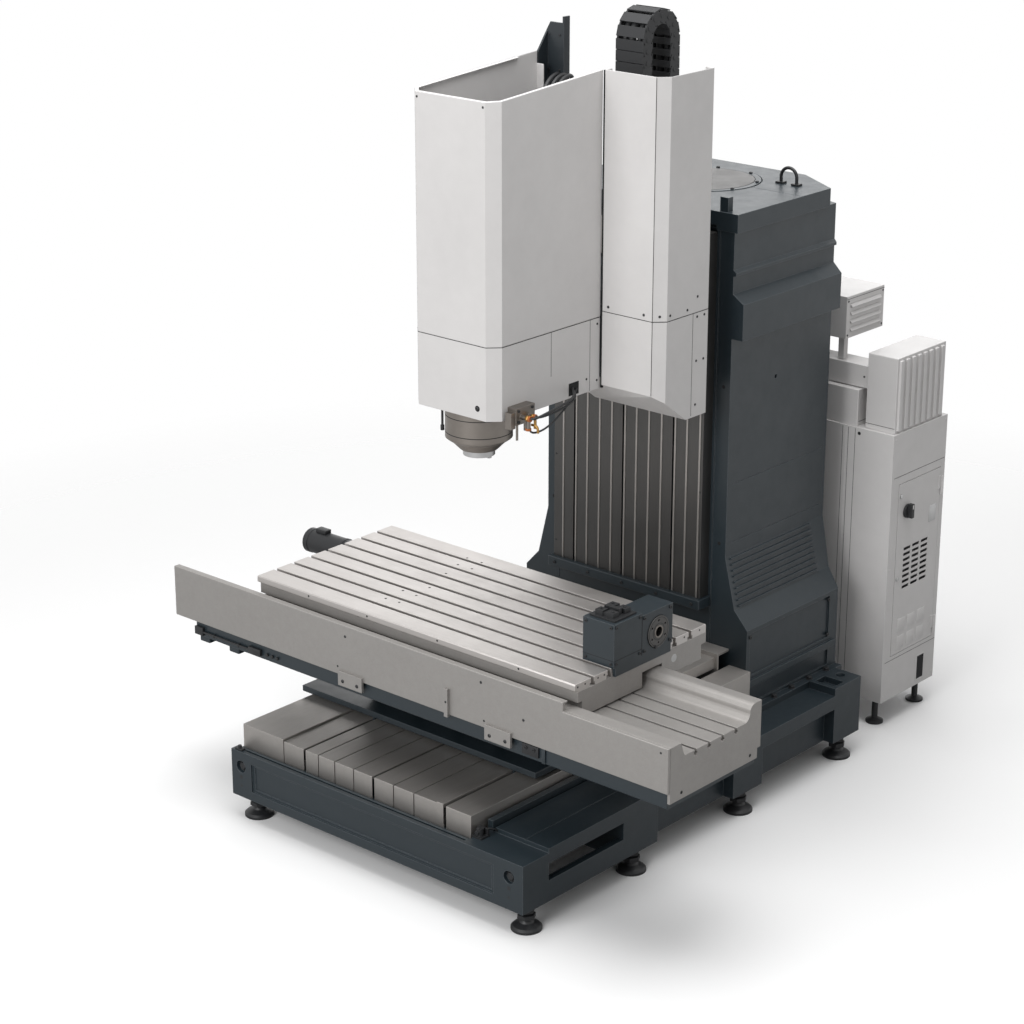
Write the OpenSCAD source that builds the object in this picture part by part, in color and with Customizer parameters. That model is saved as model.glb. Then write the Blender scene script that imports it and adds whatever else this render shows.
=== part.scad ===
// Vertical machining centre with its sheet enclosure taken off: bed, compound
// slide with T-slot table, column, spindle head and electrical cabinet.
// Millimetres. X runs along the table, Y from the front to the column, Z up.
// The pieces are laid out from the column centreline, the front face of the bed
// and the floor, and are moved as one to the middle of the footprint at the end.

/* [Bed] */
// Height of the leveling feet below the bed
foot_h = 100; // [80:5:130]
// Radius of a foot's pad
foot_r = 62; // [45:1:75]
// Left end of the bed
bed_x0 = -821; // [-840:1:-790]
// Right end of the bed
bed_x1 = 791; // [760:1:820]
// Depth of the bed, front face to the back of the last foot block
bed_len = 2260; // [2200:5:2320]
// Depth of the front beam
beam_d = 152; // [130:1:170]
// Height of the front beam's top above the floor
beam_top = 307; // [300:1:316]
// Height of the machined deck that carries the Y ways
way_z = 292; // [270:1:298]
// Height of the column seat above the floor
seat_z = 326; // [318:1:340]
// How far the side walls stand in between the foot blocks
wall_in = 52; // [20:1:80]
// Thickness of the deck slab at the right
slab_t = 62; // [40:1:80]
// Width of the deck slab at the right
slab_w = 273; // [240:1:280]

/* [Y ways] */
// Widths of the ten way guards, left to right
guard_w = [243, 123, 79, 94, 107, 110, 112, 111, 167, 140];
// Front plane of the way guards
guard_y = 65; // [50:1:80]
// Rear end of the way guards
guard_end = 1150; // [1120:1:1180]
// Height of the way guards above the deck
guard_h = 98; // [92:1:104]
// Sheet thickness of the way guards
guard_t = 4; // [2:0.5:5]
// How much taller the first guard is than its neighbours
guard_rise = 8; // [0:1:10]
// Gap between neighbouring guards
guard_gap = 5; // [2:0.5:8]
// Width of the slots that let the slide webs through the guards
slot_w = 12; // [10:0.5:16]
// Thickness of a slide web
web_t = 8; // [5:0.5:8]
// Width of a guide rail
rail_w = 45; // [35:1:50]
// Height of a guide rail
rail_h = 36; // [30:1:40]
// Width of a guide truck
truck_w = 90; // [80:1:96]
// Length of a guide truck
truck_l = 120; // [90:5:130]
// Height of a guide truck's top above the foot of its rail
truck_top = 60; // [56:1:64]
// Radius of the ball screws
screw_r = 20; // [16:1:22]

/* [Slides] */
// Height of the underside of the saddle
saddle_z = 405; // [403:1:415]
// Left end of the saddle block on the ways
saddle_x0 = -560; // [-600:5:-530]
// Right end of the saddle block on the ways
saddle_x1 = 460; // [420:5:470]
// Front of the saddle's ribs, right under the cross body
saddle_y0 = 260; // [240:5:300]
// Front edge of the saddle's bed plate
plate_y0 = 455; // [445:5:480]
// Left end of the saddle's bed plate
plate_x0 = -860; // [-870:5:-820]
// Thickness of the saddle's bed plate
plate_t = 28; // [20:1:36]
// Height of the dark strip that the saddle shows under the cross body
strip_h = 66; // [50:1:80]
// Underside of the cross body
cross_z = 732; // [725:1:740]
// Front of the apron plate
cross_y = 150; // [130:1:170]
// Depth from the apron's front to the back of the cross body
cross_d = 570; // [540:5:590]
// Left end of the cross body
cross_x0 = -950; // [-980:5:-940]
// Right end of the cross body
cross_x1 = 1356; // [1300:1:1400]
// Left end of the apron plate
apron_x0 = -1303; // [-1340:1:-1250]
// Where the apron's high part ends
apron_step = 856; // [800:1:900]
// Thickness of the apron plate
apron_t = 15; // [10:1:20]
// Height of the apron's high part
apron_h = 223; // [210:1:230]
// Height of the front rim of the cross body
rim_h = 185; // [180:1:190]
// Height of the grooved land of the cross body
land_h = 129; // [126:1:134]
// Pitch of the grooves in the cross body
groove_pitch = 82; // [70:1:90]
// Distance from the apron's front to the first groove
groove_y = 165; // [150:1:175]

/* [Table] */
// Length of the table
table_l = 1716; // [1500:2:1760]
// Centre of the table along X
table_x = 8; // [-20:1:20]
// Depth of the table
table_d = 806; // [780:2:840]
// Front edge of the table
table_y = 208; // [200:1:220]
// Thickness of the table
table_t = 142; // [130:1:150]
// Height of the table's face above the floor
table_top = 1010; // [1004:1:1030]
// Number of T-slots
slots = 7; // [5:1:7]
// Pitch of the T-slots
slot_pitch = 100; // [80:1:110]
// Width of a T-slot's mouth
tslot_w = 18; // [14:1:22]
// Depth of a T-slot
tslot_d = 36; // [28:1:38]
// Height of the light band above the recess in the table's front
band_h = 26; // [20:1:32]
// Depth of the recess in the table's front
band_d = 18; // [8:1:30]

/* [Rotary unit] */
// Height of the faceplate's axis above the table
rot_h = 73; // [70:1:80]
// Radius of the faceplate
plate_r = 64; // [50:1:66]
// Radius of the faceplate's centre bore
plate_bore = 20; // [12:1:24]
// Pitch circle diameter of the faceplate's tapped holes
plate_pcd = 92; // [80:1:100]
// Radius of the faceplate's tapped holes
plate_hole = 5; // [3:0.5:6]
// Number of tapped holes in the faceplate
plate_n = 6; // [4:1:8]

/* [Column] */
// Half width of the column's shaft
col_hw = 490; // [470:1:505]
// Front plane of the column
col_y = 1640; // [1630:1:1660]
// Back plane of the column before its taper
col_y1 = 2285; // [2250:5:2320]
// Back face of the column
col_back = 2420; // [2380:5:2440]
// Height of the top of the column cap
col_top = 2491; // [2440:1:2520]
// Height of the column cap
cap_h = 77; // [60:1:90]
// Half width of the column base
base_hw = 616; // [590:1:630]
// Height at which the base starts to lean in
base_z = 714; // [690:1:730]
// Height of the top of the sloping panel
panel_z = 791; // [780:1:800]
// Height at which the ribbed flare meets the shaft
flare_z = 1016; // [990:1:1040]
// Number of ribs on the flare
ribs = 9; // [6:1:10]
// Half width of the upper band
band_hw = 545; // [530:1:560]
// Underside of the upper band
band_z = 1970; // [1950:1:1990]

/* [Column guard] */
// Pitch of the vertical slats
slat_pitch = 67.2; // [64:0.1:68]
// Width of the first slat
slat_first = 49; // [40:1:55]
// Front plane of the slats
slat_y = 1580; // [1575:1:1584]
// Lower end of the slats
slat_z = 825; // [800:5:850]
// Upper end of the slats
slat_top = 2400; // [2380:5:2410]

/* [Head] */
// Distance of the spindle axis from the front of the bed
spindle_y = 640; // [620:1:660]
// Height of the spindle's end face above the floor
nose_z = 1623; // [1600:1:1640]
// Radius of the spindle nose
nose_r = 64.3; // [60:0.1:70]
// Radius of the spindle housing below the cover
housing_r = 135; // [125:1:145]
// Half width of the head cover
hcov_hw = 222; // [210:1:235]
// Front of the head cover
hcov_y = 483; // [460:1:490]
// Underside of the head cover
hcov_z = 1827; // [1815:1:1840]
// Height of the seam between the lower and upper head covers
hcov_seam = 2125; // [2100:5:2150]
// Top of the head cover at its front
hcov_top = 3070; // [3000:5:3080]
// How much the head cover's top rises back to the carriage cover
hcov_rise = 42; // [0:1:44]
// Rear end of the head cover's left wall
hcov_back = 1240; // [1150:5:1280]
// Gap between the head cover and the carriage cover
cover_gap = 10; // [6:1:14]
// Bevel on the front corners of the head cover
hcov_bevel = 45; // [30:1:60]
// Right side of the carriage cover
ccov_hw = 526; // [510:1:540]
// Front of the carriage cover
ccov_y = 1119; // [1100:1:1130]
// Back of the carriage cover
ccov_y1 = 1427; // [1410:1:1435]
// Lowest edge of the carriage cover
ccov_z = 1715; // [1700:1:1725]
// Height of the seam of the carriage cover
ccov_seam = 2150; // [2120:5:2180]
// Top of the carriage cover
ccov_top = 3114; // [3050:1:3130]
// Bevel on the front corner of the carriage cover
ccov_bevel = 41; // [30:1:60]
// Sheet thickness of the covers
sheet = 4; // [2:0.5:5]
// Underside of the head casting
head_z = 1870; // [1860:1:1880]
// Top of the head casting
head_top_z = 2120; // [2110:1:2130]
// Half width of the head's arm
arm_hw = 148; // [130:1:160]
// Front face of the carriage
carr_y = 1440; // [1435:1:1450]
// Lower end of the carriage
carr_z = 1750; // [1740:1:1760]
// Upper end of the carriage
carr_top = 2230; // [2220:1:2240]
// Half width of the carriage
carr_hw = 400; // [380:1:420]
// Side of the spindle motor
motor_w = 236; // [200:2:240]
// Height of the spindle motor's box
motor_box_h = 383; // [340:1:400]
// How far the hose mast stands above the front of the head cover
mast_rise = 186; // [150:1:200]
// Width of the hose mast
mast_w = 92; // [80:1:100]
// Depth of the hose mast
mast_d = 36; // [30:1:44]

/* [Cable chain] */
// Pitch of the chain's links
link_pitch = 45.5; // [44:0.5:48]
// Height of a link
link_h = 60; // [50:1:62]
// Width of the chain
chain_w = 140; // [120:1:150]
// Mean radius of the chain's bend
bend_r = 87; // [84:1:92]
// Height of the centre of the bend
bend_z = 3196; // [3150:1:3200]

/* [Cabinet] */
// Right side of the cabinet
cab_x1 = 731; // [700:1:760]
// Width of the cabinet
cab_w = 800; // [700:5:850]
// Gap between the back of the column and the cabinet
cab_gap = 101; // [80:1:140]
// Depth of the cabinet
cab_d = 429; // [400:1:450]
// Underside of the cabinet
cab_z = 120; // [100:1:140]
// Top of the cabinet
cab_top = 1388; // [1360:1:1400]
// Sheet thickness of the cabinet
cab_t = 3; // [2:0.5:4]

/* [Fits] */
// Running clearance around a shaft
fit = 0.05; // [0.02:0.01:0.1]
// Gap between a truck and its rail
truck_gap = 0.5; // [0.3:0.1:0.8]
// Gap between faces that slide past each other
slide_gap = 3; // [2:0.5:4]
// Gap at a sliding seat that carries a cover or the chain
seat_gap = 0.3; // [0.2:0.1:0.5]

/* [Hidden] */
$fn = 48;

cast = "#3a464e";
cast_dark = "#2c363d";
steel = "#9b9894";
table_grey = "#c9c4c0";
cover = "#d5d3d1";
black = "#1c1c1e";
bright = "#b9bcc0";

// Running sum of the first n entries of a list
function sum_to(list, n) = n <= 0 ? 0 : list[n - 1] + sum_to(list, n - 1);
// Left edge of way guard i
function guard_x(i) = bed_x0 + 5 + sum_to(guard_w, i);

// Guard joints that the left web, the screw web and the right web pass through
way_joints = [2, 6, 9];
way_left = guard_x(way_joints[0]);
way_screw = guard_x(way_joints[1]);
way_right = guard_x(way_joints[2]);
guard_x1 = guard_x(len(guard_w));
guard_z = way_z + guard_h;
lip_d = 8;
// Trucks and nut of the saddle, along Y
truck_ys = [plate_y0 + 15, plate_y0 + 205];
y_screw_z = way_z + 46;
nut_l = 110;

// Bed blocks over the feet: start and end along Y
blocks = [[0, beam_d], [608, 826], [1335, 1537], [bed_len - 196, bed_len]];
foot_xs = [bed_x0 + 77, bed_x1 - 47];

cross_y1 = cross_y + cross_d;
// Thickness of the cross body's right end where it hangs over the strip
end_t = 12;
// Left ends and width of the keeper plates, and left side of the pointer
keeper_xs = [-319, 473];
keeper_w = 132;
pointer_x = 264;
land_z = cross_z + land_h;
rim_z = cross_z + rim_h;
// Cavity for the X ways in the cross body
xway_z = cross_z + 38;
xway_l = 930;
cavity_roof = land_z - 24;
table_z = table_top - table_t;
table_x0 = table_x - table_l / 2;
table_x1 = table_x + table_l / 2;
table_mid = table_y + table_d / 2;
keel_ys = [cross_y + groove_y, cross_y + groove_y + 3 * groove_pitch];
x_truck_w = 80;
x_truck_x = 350;
x_screw_y = 811;
x_screw_z = table_z + 60;
x_screw_r = 16;
channel_w = 96;
channel_h = 92;
// Floor of the T-slots, where the table's lands stand on its slab
slot_z = table_top - tslot_d;

// Rotary unit on the right end of the table
rot_x1 = table_x1 + 14;
rot_y = 688;
rot_z = table_top + rot_h;
// Motor box: front and back along Y, length and height
motor_y = rot_y - 268;
gear_y = rot_y - 99;
motor_l = 153;
motor_h = 178;

// Column: half width of its back face and of the cap, the cap's disc and the bails
back_hw = 285;
cap_hw = col_hw + 17;
cap_y = (col_y + col_back) / 2 + 50;
cap_disc_r = 240;
bail_x = cap_hw - 177;

// Slats of the column guard: left edge of slat i
slat_x0 = -405;
slat_n = 13;
function slat_x(i) = i == 0 ? slat_x0 : slat_x0 + slat_first + (i - 1) * slat_pitch;
slat_x1 = 405;
zway_left = slat_x(2);
z_screw_x = slat_x(6);
zway_right = slat_x(10);
zway_y = col_y + 24;
z_screw_y = zway_y - 34;
z_truck_zs = [carr_z + 110, carr_z + 310];
recess_z = slat_z - 45;
carr_y1 = slat_y - 8;

// Telescopic cover: length of a stage, and how far each stage lies inside the last
stage_l = 450;
stage_step = 8;
// Sides of the cover and its height above the seat
stage_x0 = -533;
stage_x1 = 523;
stage_h = 279;
// Width and height of the fixed trays beside it
tray_w = 112;
tray_h = 210;

// How much shorter a bevel gets on an outline drawn 1 mm further in
bevel_step = 2 - sqrt(2);

// Hood of the carriage cover: height and depth of its slope, left end of its floor
hood_rise = 129;
hood_run = 176;
hood_x0 = 56;

// Chain
chain_x = 180;
chain_y = 1447;

// Height of the head cover's sloping top at y
function head_top(y) = hcov_top + hcov_rise * (y - hcov_y) / (ccov_y - hcov_y);

mast_top = hcov_top + mast_rise;

cab_y = col_back + cab_gap;
cab_x0 = cab_x1 - cab_w;
// Doorway and hinges of the cabinet
door_z0 = 330;
door_z1 = 1150;
door_y1 = cab_y + cab_d - 30;
// Door switch: place along Y and height
switch_y = cab_y + 133;
switch_z = door_z0 + 680;
// Width and height of the cooler on the roof, and underside of the duct beside it
cooler_w = 165;
cooler_h = 342;
duct_z = cab_top + 172;
// Height of the duct, and width of the louvred unit that stands on it
duct_h = 100;
louvre_w = 300;
hinge_x = cab_x1 + 8;
hinge_y = door_y1 - slide_gap + 8;
hinge_l = 60;
hinge_zs = [door_z0 + 43, door_z1 - 103];

place_x = (apron_x0 + cross_x1) / 2;
place_y = (cab_y + cab_d) / 2;

module place() translate([-place_x, -place_y, 0]) children();

// Box between two corners
module block(a, b) translate(a) cube(b - a);

// Prism with its outline drawn in Y and Z, from x0 to x1
module along_x(x0, x1) translate([x0, 0, 0]) rotate([90, 0, 90]) linear_extrude(x1 - x0) children();

// Prism with its outline drawn in X and Z, from y0 to y1
module along_y(y0, y1) translate([0, y1, 0]) rotate([90, 0, 0]) linear_extrude(y1 - y0) children();

// Cylinders along each axis from a start point
module rod_x(p, r, l) translate(p) rotate([0, 90, 0]) cylinder(r = r, h = l);
module rod_y(p, r, l) translate(p) rotate([-90, 0, 0]) cylinder(r = r, h = l);
module rod_z(p, r, l) translate(p) cylinder(r = r, h = l);

// Section of a guide rail, c larger all round for the channel of a truck
module rail_section(c = 0) {
    w = rail_w / 2 + c;
    n = rail_w / 2 - 6 + c;
    polygon([[-w, -c], [w, -c], [w, 11], [n, 17], [n, 22], [w, 28], [w, rail_h + c],
        [-w, rail_h + c], [-w, 28], [-n, 22], [-n, 17], [-w, 11]]);
}

// Section of a guide truck that straddles the rail
module truck_section(w = truck_w) {
    difference() {
        translate([-w / 2, 14]) square([w, truck_top - 14]);
        rail_section(truck_gap);
        translate([-rail_w / 2 - truck_gap, 0]) square([rail_w + 2 * truck_gap, 12]);
    }
}

module bed_casting() {
    cavity_x = bed_x1 - slab_w + 42;
    tie_top = 190;
    lip_x = bed_x1 - slab_w - 36;
    color(cast) difference() {
        union() {
            // Body between the side walls
            block([bed_x0 + wall_in, 0, foot_h], [bed_x1 - wall_in, bed_len, way_z]);
            // Foot blocks on both sides
            for (b = blocks)
                block([bed_x0, b[0], foot_h], [bed_x1, b[1], way_z]);
            // Left wall under the widest guard
            block([bed_x0, 0, way_z - 40], [bed_x0 + wall_in, guard_end, way_z]);
            // Front lip of the beam and the raised right end of it
            block([bed_x0, 0, way_z], [bed_x1, 42, beam_top]);
            block([lip_x, 0, way_z], [bed_x1, beam_d, beam_top]);
            // Deck slab with its upright lip
            block([bed_x1 - slab_w, beam_d, seat_z - slab_t], [bed_x1, bed_len, seat_z]);
            block([lip_x, beam_d - 4, way_z], [lip_x + 26, guard_end, seat_z + 26]);
            // Left deck behind the guards
            block([bed_x0, guard_end, seat_z - slab_t], [bed_x0 + slab_w, bed_len, seat_z]);
            // Seat of the column
            block([bed_x0, col_y - 70, way_z], [bed_x1, bed_len, seat_z]);
            // Tie rail along the foot of the open bay
            block([bed_x1 - 31, beam_d, foot_h], [bed_x1, blocks[1][0], tie_top]);
            // Raised rear corner block
            block([base_hw + 37, blocks[3][0], seat_z], [bed_x1, bed_len, seat_z + 34]);
        }
        // Open bay under the deck slab
        block([cavity_x, beam_d, foot_h - 1], [bed_x1 - 31, blocks[1][0], seat_z - slab_t]);
        block([cavity_x, beam_d, tie_top], [bed_x1 + 1, blocks[1][0], seat_z - slab_t]);
        // Framed panel on the front face
        block([bed_x0 + 116, -1, foot_h + 40], [bed_x1 - 151, 8, beam_top - 40]);
        block([bed_x0 + 132, -1, foot_h + 52], [bed_x1 - 167, 12, beam_top - 52]);
        // Round ports in the end pads
        for (x = [bed_x0 + 56, bed_x1 - 71]) rod_y([x, -1, beam_top - 68], 27, 19);
        // Groove along the deck slab
        block([bed_x1 - 122, beam_d - 1, seat_z - 3], [bed_x1 - 118, col_y - 90, seat_z + 1]);
        // Drain trough behind the front lip
        block([bed_x0 + 60, 18, beam_top - 10], [lip_x - 6, 30, beam_top + 1]);
        // Pocket and socket in the rear corner block
        block([base_hw + 57, blocks[3][0] + 20, seat_z + 6],
            [bed_x1 - 20, blocks[3][0] + 90, seat_z + 35]);
        rod_z([bed_x1 - 75, bed_len - 50, seat_z + 4], 22, 40);
    }
}

// Pads, cones, lock nuts and studs of the eight leveling feet
module leveling_feet() {
    color(black) for (x = foot_xs, b = blocks)
        translate([x, (b[0] + b[1]) / 2, 0]) rotate_extrude()
            polygon([[0, 0], [foot_r, 0], [foot_r, 10], [foot_r - 8, 18], [30, 30], [22, 40],
                [22, 46], [32, 46], [32, 64], [14, 64], [14, 72], [28, 72], [28, 86],
                [14, 86], [14, foot_h], [0, foot_h]]);
}

// Folded guards side by side over the Y ways, with slots for the slide webs
module way_guards() {
    half = slot_w / 2;
    color(steel) for (i = [0 : len(guard_w) - 1]) {
        left_slot = len(search(i, way_joints)) > 0;
        right_slot = len(search(i + 1, way_joints)) > 0;
        x0 = guard_x(i) + (left_slot ? half : guard_gap / 2);
        x1 = guard_x(i + 1) - (right_slot ? half : guard_gap / 2);
        z1 = guard_z + (i == 0 ? guard_rise : 0);
        difference() {
            block([x0, guard_y, way_z], [x1, guard_end, z1]);
            block([x0 + guard_t, guard_y + guard_t, way_z - 1],
                [x1 - guard_t, guard_end - guard_t, z1 - guard_t]);
            rod_y([way_screw, guard_end - guard_t - 1, y_screw_z], screw_r + 4, guard_t + 2);
            if (left_slot)
                block([x0 - 1, guard_y + guard_t, way_z - 1],
                    [x0 + guard_t + 1, guard_end - guard_t, guard_z - guard_t - lip_d]);
            if (right_slot)
                block([x1 - guard_t - 1, guard_y + guard_t, way_z - 1],
                    [x1 + 1, guard_end - guard_t, guard_z - guard_t - lip_d]);
        }
        // Raised strip beside the last slot, folded down over the front
        if (i == way_joints[2] - 1) {
            block([x1 - 34, guard_y - 3, guard_z], [x1, guard_end, guard_z + 7]);
            block([x1 - 34, guard_y - 3, beam_top + 3], [x1, guard_y, guard_z]);
        }
    }
}

module y_rails() {
    color(bright) for (x = [way_left, way_right])
        translate([x, 0, way_z]) along_y(80, guard_end - 10) rail_section();
}

// Screw bearings, coupling guard and servo motor of the Y axis
module y_drive() {
    color(cast_dark) {
        for (y = [90, guard_end + 16]) difference() {
            block([way_screw - 45, y, way_z], [way_screw + 45, y + 44, way_z + 84]);
            rod_y([way_screw, y - 1, y_screw_z], screw_r + fit, 50);
        }
        difference() {
            block([way_screw - 60, guard_end + 100, way_z], [way_screw + 60, guard_end + 125, way_z + 108]);
            rod_y([way_screw, guard_end + 90, y_screw_z], screw_r + 10, 60);
        }
    }
    color(black) {
        block([way_screw - 65, guard_end + 125, way_z + 1], [way_screw + 65, guard_end + 330, way_z + 111]);
        block([way_screw - 40, guard_end + 140, way_z + 111], [way_screw + 20, guard_end + 200, way_z + 140]);
        rod_y([way_screw, guard_end + 330, y_screw_z + 12], 48, 60);
    }
}

// Grease fitting on a small bracket at the front right of the bed
module lube_fitting() {
    x = bed_x1 - slab_w - 2;
    color(black) {
        block([x - 40, 60, beam_top], [x + 10, 110, beam_top + 8]);
        block([x - 40, 98, beam_top + 8], [x + 10, 106, beam_top + 34]);
        rod_z([x - 15, 80, beam_top + 8], 15, 30);
        rod_y([x - 15, 58, beam_top + 24], 9, 22);
    }
}

// One stage of the telescopic cover behind the saddle: an open channel turned down,
// with glide shoes that run on the next stage
module cover_stage(y0, y1, drop, inset, shoes) {
    z1 = seat_z + stage_h - drop;
    x0 = stage_x0 + inset;
    x1 = stage_x1 - inset;
    skirt = seat_z + 214;
    difference() {
        block([x0, y0, skirt], [x1, y1, z1]);
        block([x0 + 3, y0 - 1, skirt - 1], [x1 - 3, y1 + 1, z1 - 3]);
    }
    // Folded beads that stiffen the roof
    for (x = [x0 + 150, x1 - 60]) block([x, y0, z1], [x + 6, y1, z1 + 2]);
    if (shoes) {
        block([x0 + 3, y1 - 40, skirt], [x0 + stage_step - seat_gap, y1, z1 - stage_step]);
        block([x1 - stage_step + seat_gap, y1 - 40, skirt], [x1 - 3, y1, z1 - stage_step]);
    }
}
module rear_cover_fixed() {
    z1 = seat_z + stage_h - 2 * stage_step;
    color(steel) {
        cover_stage(col_y - stage_l - 80, col_y - 80, 2 * stage_step, 2 * stage_step, false);
        // End flange that hangs on the column front
        difference() {
            block([stage_x0, col_y - 80, seat_z + 150], [stage_x1, col_y - 70, z1 + 20]);
            block([stage_x0 + 113, col_y - 81, seat_z + 149], [stage_x1 - 103, col_y - 69, z1 - 60]);
        }
        block([stage_x0, col_y - 70, z1 + 10], [stage_x1, col_y, z1 + 20]);
        // Side trays on the deck beside the cover
        for (s = [0, 1]) mirror([s, 0, 0]) side_tray(4 + (s == 0 ? stage_x1 : -stage_x0));
    }
}

// Fixed tray whose inner edge lies at x0
module side_tray(x0) {
    x1 = x0 + tray_w;
    y0 = guard_end + 6;
    block([x0, y0, seat_z + tray_h - guard_t], [x1, col_y, seat_z + tray_h]);
    block([x1 - guard_t, y0, seat_z], [x1, col_y, seat_z + tray_h - guard_t]);
    block([x0, y0, seat_z], [x1 - guard_t, y0 + guard_t, seat_z + tray_h - guard_t]);
}

// Saddle stage and middle stage of the telescopic cover
module rear_cover_moving() {
    y0 = cross_y1 - 20;
    color(steel) {
        cover_stage(y0, y0 + stage_l, 0, 0, true);
        z1 = seat_z + stage_h - 3;
        block([stage_x0 + 3, y0, z1 - 36], [stage_x0 + 133, y0 + 3, z1]);
        block([stage_x1 - 133, y0, z1 - 36], [stage_x1 - 3, y0 + 3, z1]);
    }
}
module rear_cover_middle() {
    y0 = (cross_y1 - 20 + col_y - stage_l - 80) / 2;
    color(steel) cover_stage(y0, y0 + stage_l, stage_step, stage_step, true);
}

// Outline of the column seen from the front: base, sloping panel, flare, shaft, band
function column_half() = [[base_hw, seat_z], [base_hw, base_z], [band_hw, panel_z],
    [col_hw, flare_z], [col_hw, band_z], [band_hw, band_z], [band_hw, band_z + 153],
    [col_hw, band_z + 189], [col_hw, band_z + 262], [col_hw + 14, band_z + 266],
    [col_hw + 14, band_z + 278], [col_hw, band_z + 290], [col_hw, col_top - cap_h]];

module column_casting() {
    half = column_half();
    n = len(half);
    rib_pitch = (flare_z - panel_z) / ribs;
    color(cast) difference() {
        union() {
            intersection() {
                along_y(col_y, col_back) polygon(concat(half,
                    [for (i = [n - 1 : -1 : 0]) [-half[i][0], half[i][1]]]));
                // Plan of the column, drawn in towards the back
                translate([0, 0, seat_z - 1]) linear_extrude(col_top) polygon([[-700, col_y],
                    [700, col_y], [700, col_y1], [back_hw, col_back], [-back_hw, col_back], [-700, col_y1]]);
            }
            // Ribs across the flare on both sides
            for (s = [0, 1]) mirror([s, 0, 0]) for (i = [0 : ribs - 1]) {
                z = panel_z + (i + 0.3) * rib_pitch;
                lean = (band_hw - col_hw) * (z - panel_z) / (flare_z - panel_z);
                block([col_hw - 20, col_y + 30, z], [band_hw - lean + 7, col_y1 - 40, z + 9]);
            }
            // Foot flange
            block([-base_hw - 34, col_y, seat_z], [base_hw + 34, col_y1 + 30, seat_z + 30]);
            // Lower rail of the base panel
            for (s = [0, 1]) mirror([s, 0, 0])
                block([base_hw - 10, col_y + 4, seat_z + 130], [base_hw + 12, col_y1, seat_z + 158]);
        }
        // Shallow recess that the Z ways are bolted in
        block([slat_x0 + 4, col_y - 1, recess_z], [slat_x1 - 4, zway_y, col_top]);
        // Framed panels on the base
        for (s = [0, 1]) mirror([s, 0, 0]) {
            block([base_hw - 8, col_y + 22, seat_z + 176], [base_hw + 1, col_y1 - 36, base_z - 18]);
            block([base_hw - 8, col_y + 22, seat_z + 44], [base_hw + 1, col_y1 - 36, seat_z + 116]);
        }
        // Seams across the shaft
        for (z = [flare_z + 57, flare_z + 317]) for (s = [0, 1]) mirror([s, 0, 0])
            block([col_hw - 2, col_y + 40, z], [col_hw + 1, col_y1 + 40, z + 3]);
        // Front edge grooves
        for (s = [0, 1]) mirror([s, 0, 0])
            block([418, col_y - 1, seat_z + 20], [422, col_y + 4, col_top]);
        // Lifting hole in each side
        for (s = [0, 1]) mirror([s, 0, 0]) rod_x([col_hw - 30, 1960, 1740], 9, 31);
    }
}

// Cap of the column with its round cover
module column_cap() {
    z0 = col_top - cap_h;
    color(cast) difference() {
        translate([0, 0, z0]) linear_extrude(cap_h) polygon([[-cap_hw, col_y - 4], [cap_hw, col_y - 4],
            [cap_hw, col_y1], [back_hw - 10, col_back + 10], [10 - back_hw, col_back + 10],
            [-cap_hw, col_y1]]);
        translate([0, cap_y, col_top - 12]) cylinder(r = cap_disc_r + 6, h = 13);
        block([-cap_hw - 1, cap_y - 1, col_top - 3], [cap_hw + 1, cap_y + 2, col_top + 1]);
        // Clearance over the Z ways
        block([slat_x0 + 4, col_y - 5, z0 - 1], [slat_x1 - 4, zway_y, z0 + 20]);
    }
    color(cast_dark) translate([0, cap_y, col_top - 12]) difference() {
        cylinder(r = cap_disc_r, h = 14);
        translate([0, 0, 8]) cylinder(r = cap_disc_r - 24, h = 7);
    }
    for (s = [0, 1]) mirror([s, 0, 0]) color(cast_dark)
        block([cap_hw - 97, col_y + 4, col_top], [cap_hw - 57, col_y + 36, col_top + 60]);
}

// Two lifting bails on the cap
module lifting_bails() {
    color(black) for (x = [-bail_x, bail_x]) translate([x, cap_y + 150, col_top]) {
        rotate([90, 0, 0]) translate([0, 30, 0]) rotate_extrude(angle = 180)
            translate([40, 0]) circle(r = 7);
        for (s = [-1, 1]) {
            rod_z([s * 40, 0, 8], 7, 22);
            block([s * 40 - 18, -16, 0], [s * 40 + 18, 16, 8]);
        }
    }
}

// Vertical slats over the Z ways
module column_guard() {
    half = slot_w / 2;
    joints = [2, 6, 10];
    color(steel) for (i = [0 : slat_n - 1]) {
        left_slot = len(search(i, joints)) > 0;
        right_slot = len(search(i + 1, joints)) > 0;
        x0 = slat_x(i) + (left_slot ? half : 1);
        x1 = (i == slat_n - 1 ? slat_x1 : slat_x(i + 1)) - (right_slot ? half : 1);
        // Face of the slat with its edges turned back
        block([x0, slat_y, slat_z], [x1, slat_y + 3, slat_top]);
        if (!left_slot) block([x0, slat_y + 3, slat_z], [x0 + 2, slat_y + 9, slat_top]);
        if (!right_slot) block([x1 - 2, slat_y + 3, slat_z], [x1, slat_y + 9, slat_top]);
        // Bent sides that stand on the column
        if (i == 0) block([x0, slat_y + 9, slat_z], [x0 + 3, col_y, slat_top]);
        if (i == slat_n - 1) block([x1 - 3, slat_y + 9, slat_z], [x1, col_y, slat_top]);
    }
    // Head plate that ties the slats at the top
    color(steel) block([slat_x0, slat_y, slat_top], [slat_x1, col_y - 4, slat_top + 6]);
}

// Bar under the slats
module guard_bar() {
    color(cast) difference() {
        block([slat_x0 - 14, slat_y - 24, recess_z], [slat_x1 + 14, col_y, slat_z]);
        block([slat_x0 + 6, slat_y + 12, slat_z - 12], [slat_x1 - 6, col_y + 1, slat_z + 1]);
    }
}

module z_rails() {
    color(bright) for (x = [zway_left, zway_right])
        translate([x, zway_y, slat_z + 15]) linear_extrude(slat_top - slat_z - 45)
            mirror([0, 1]) rail_section();
}

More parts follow.
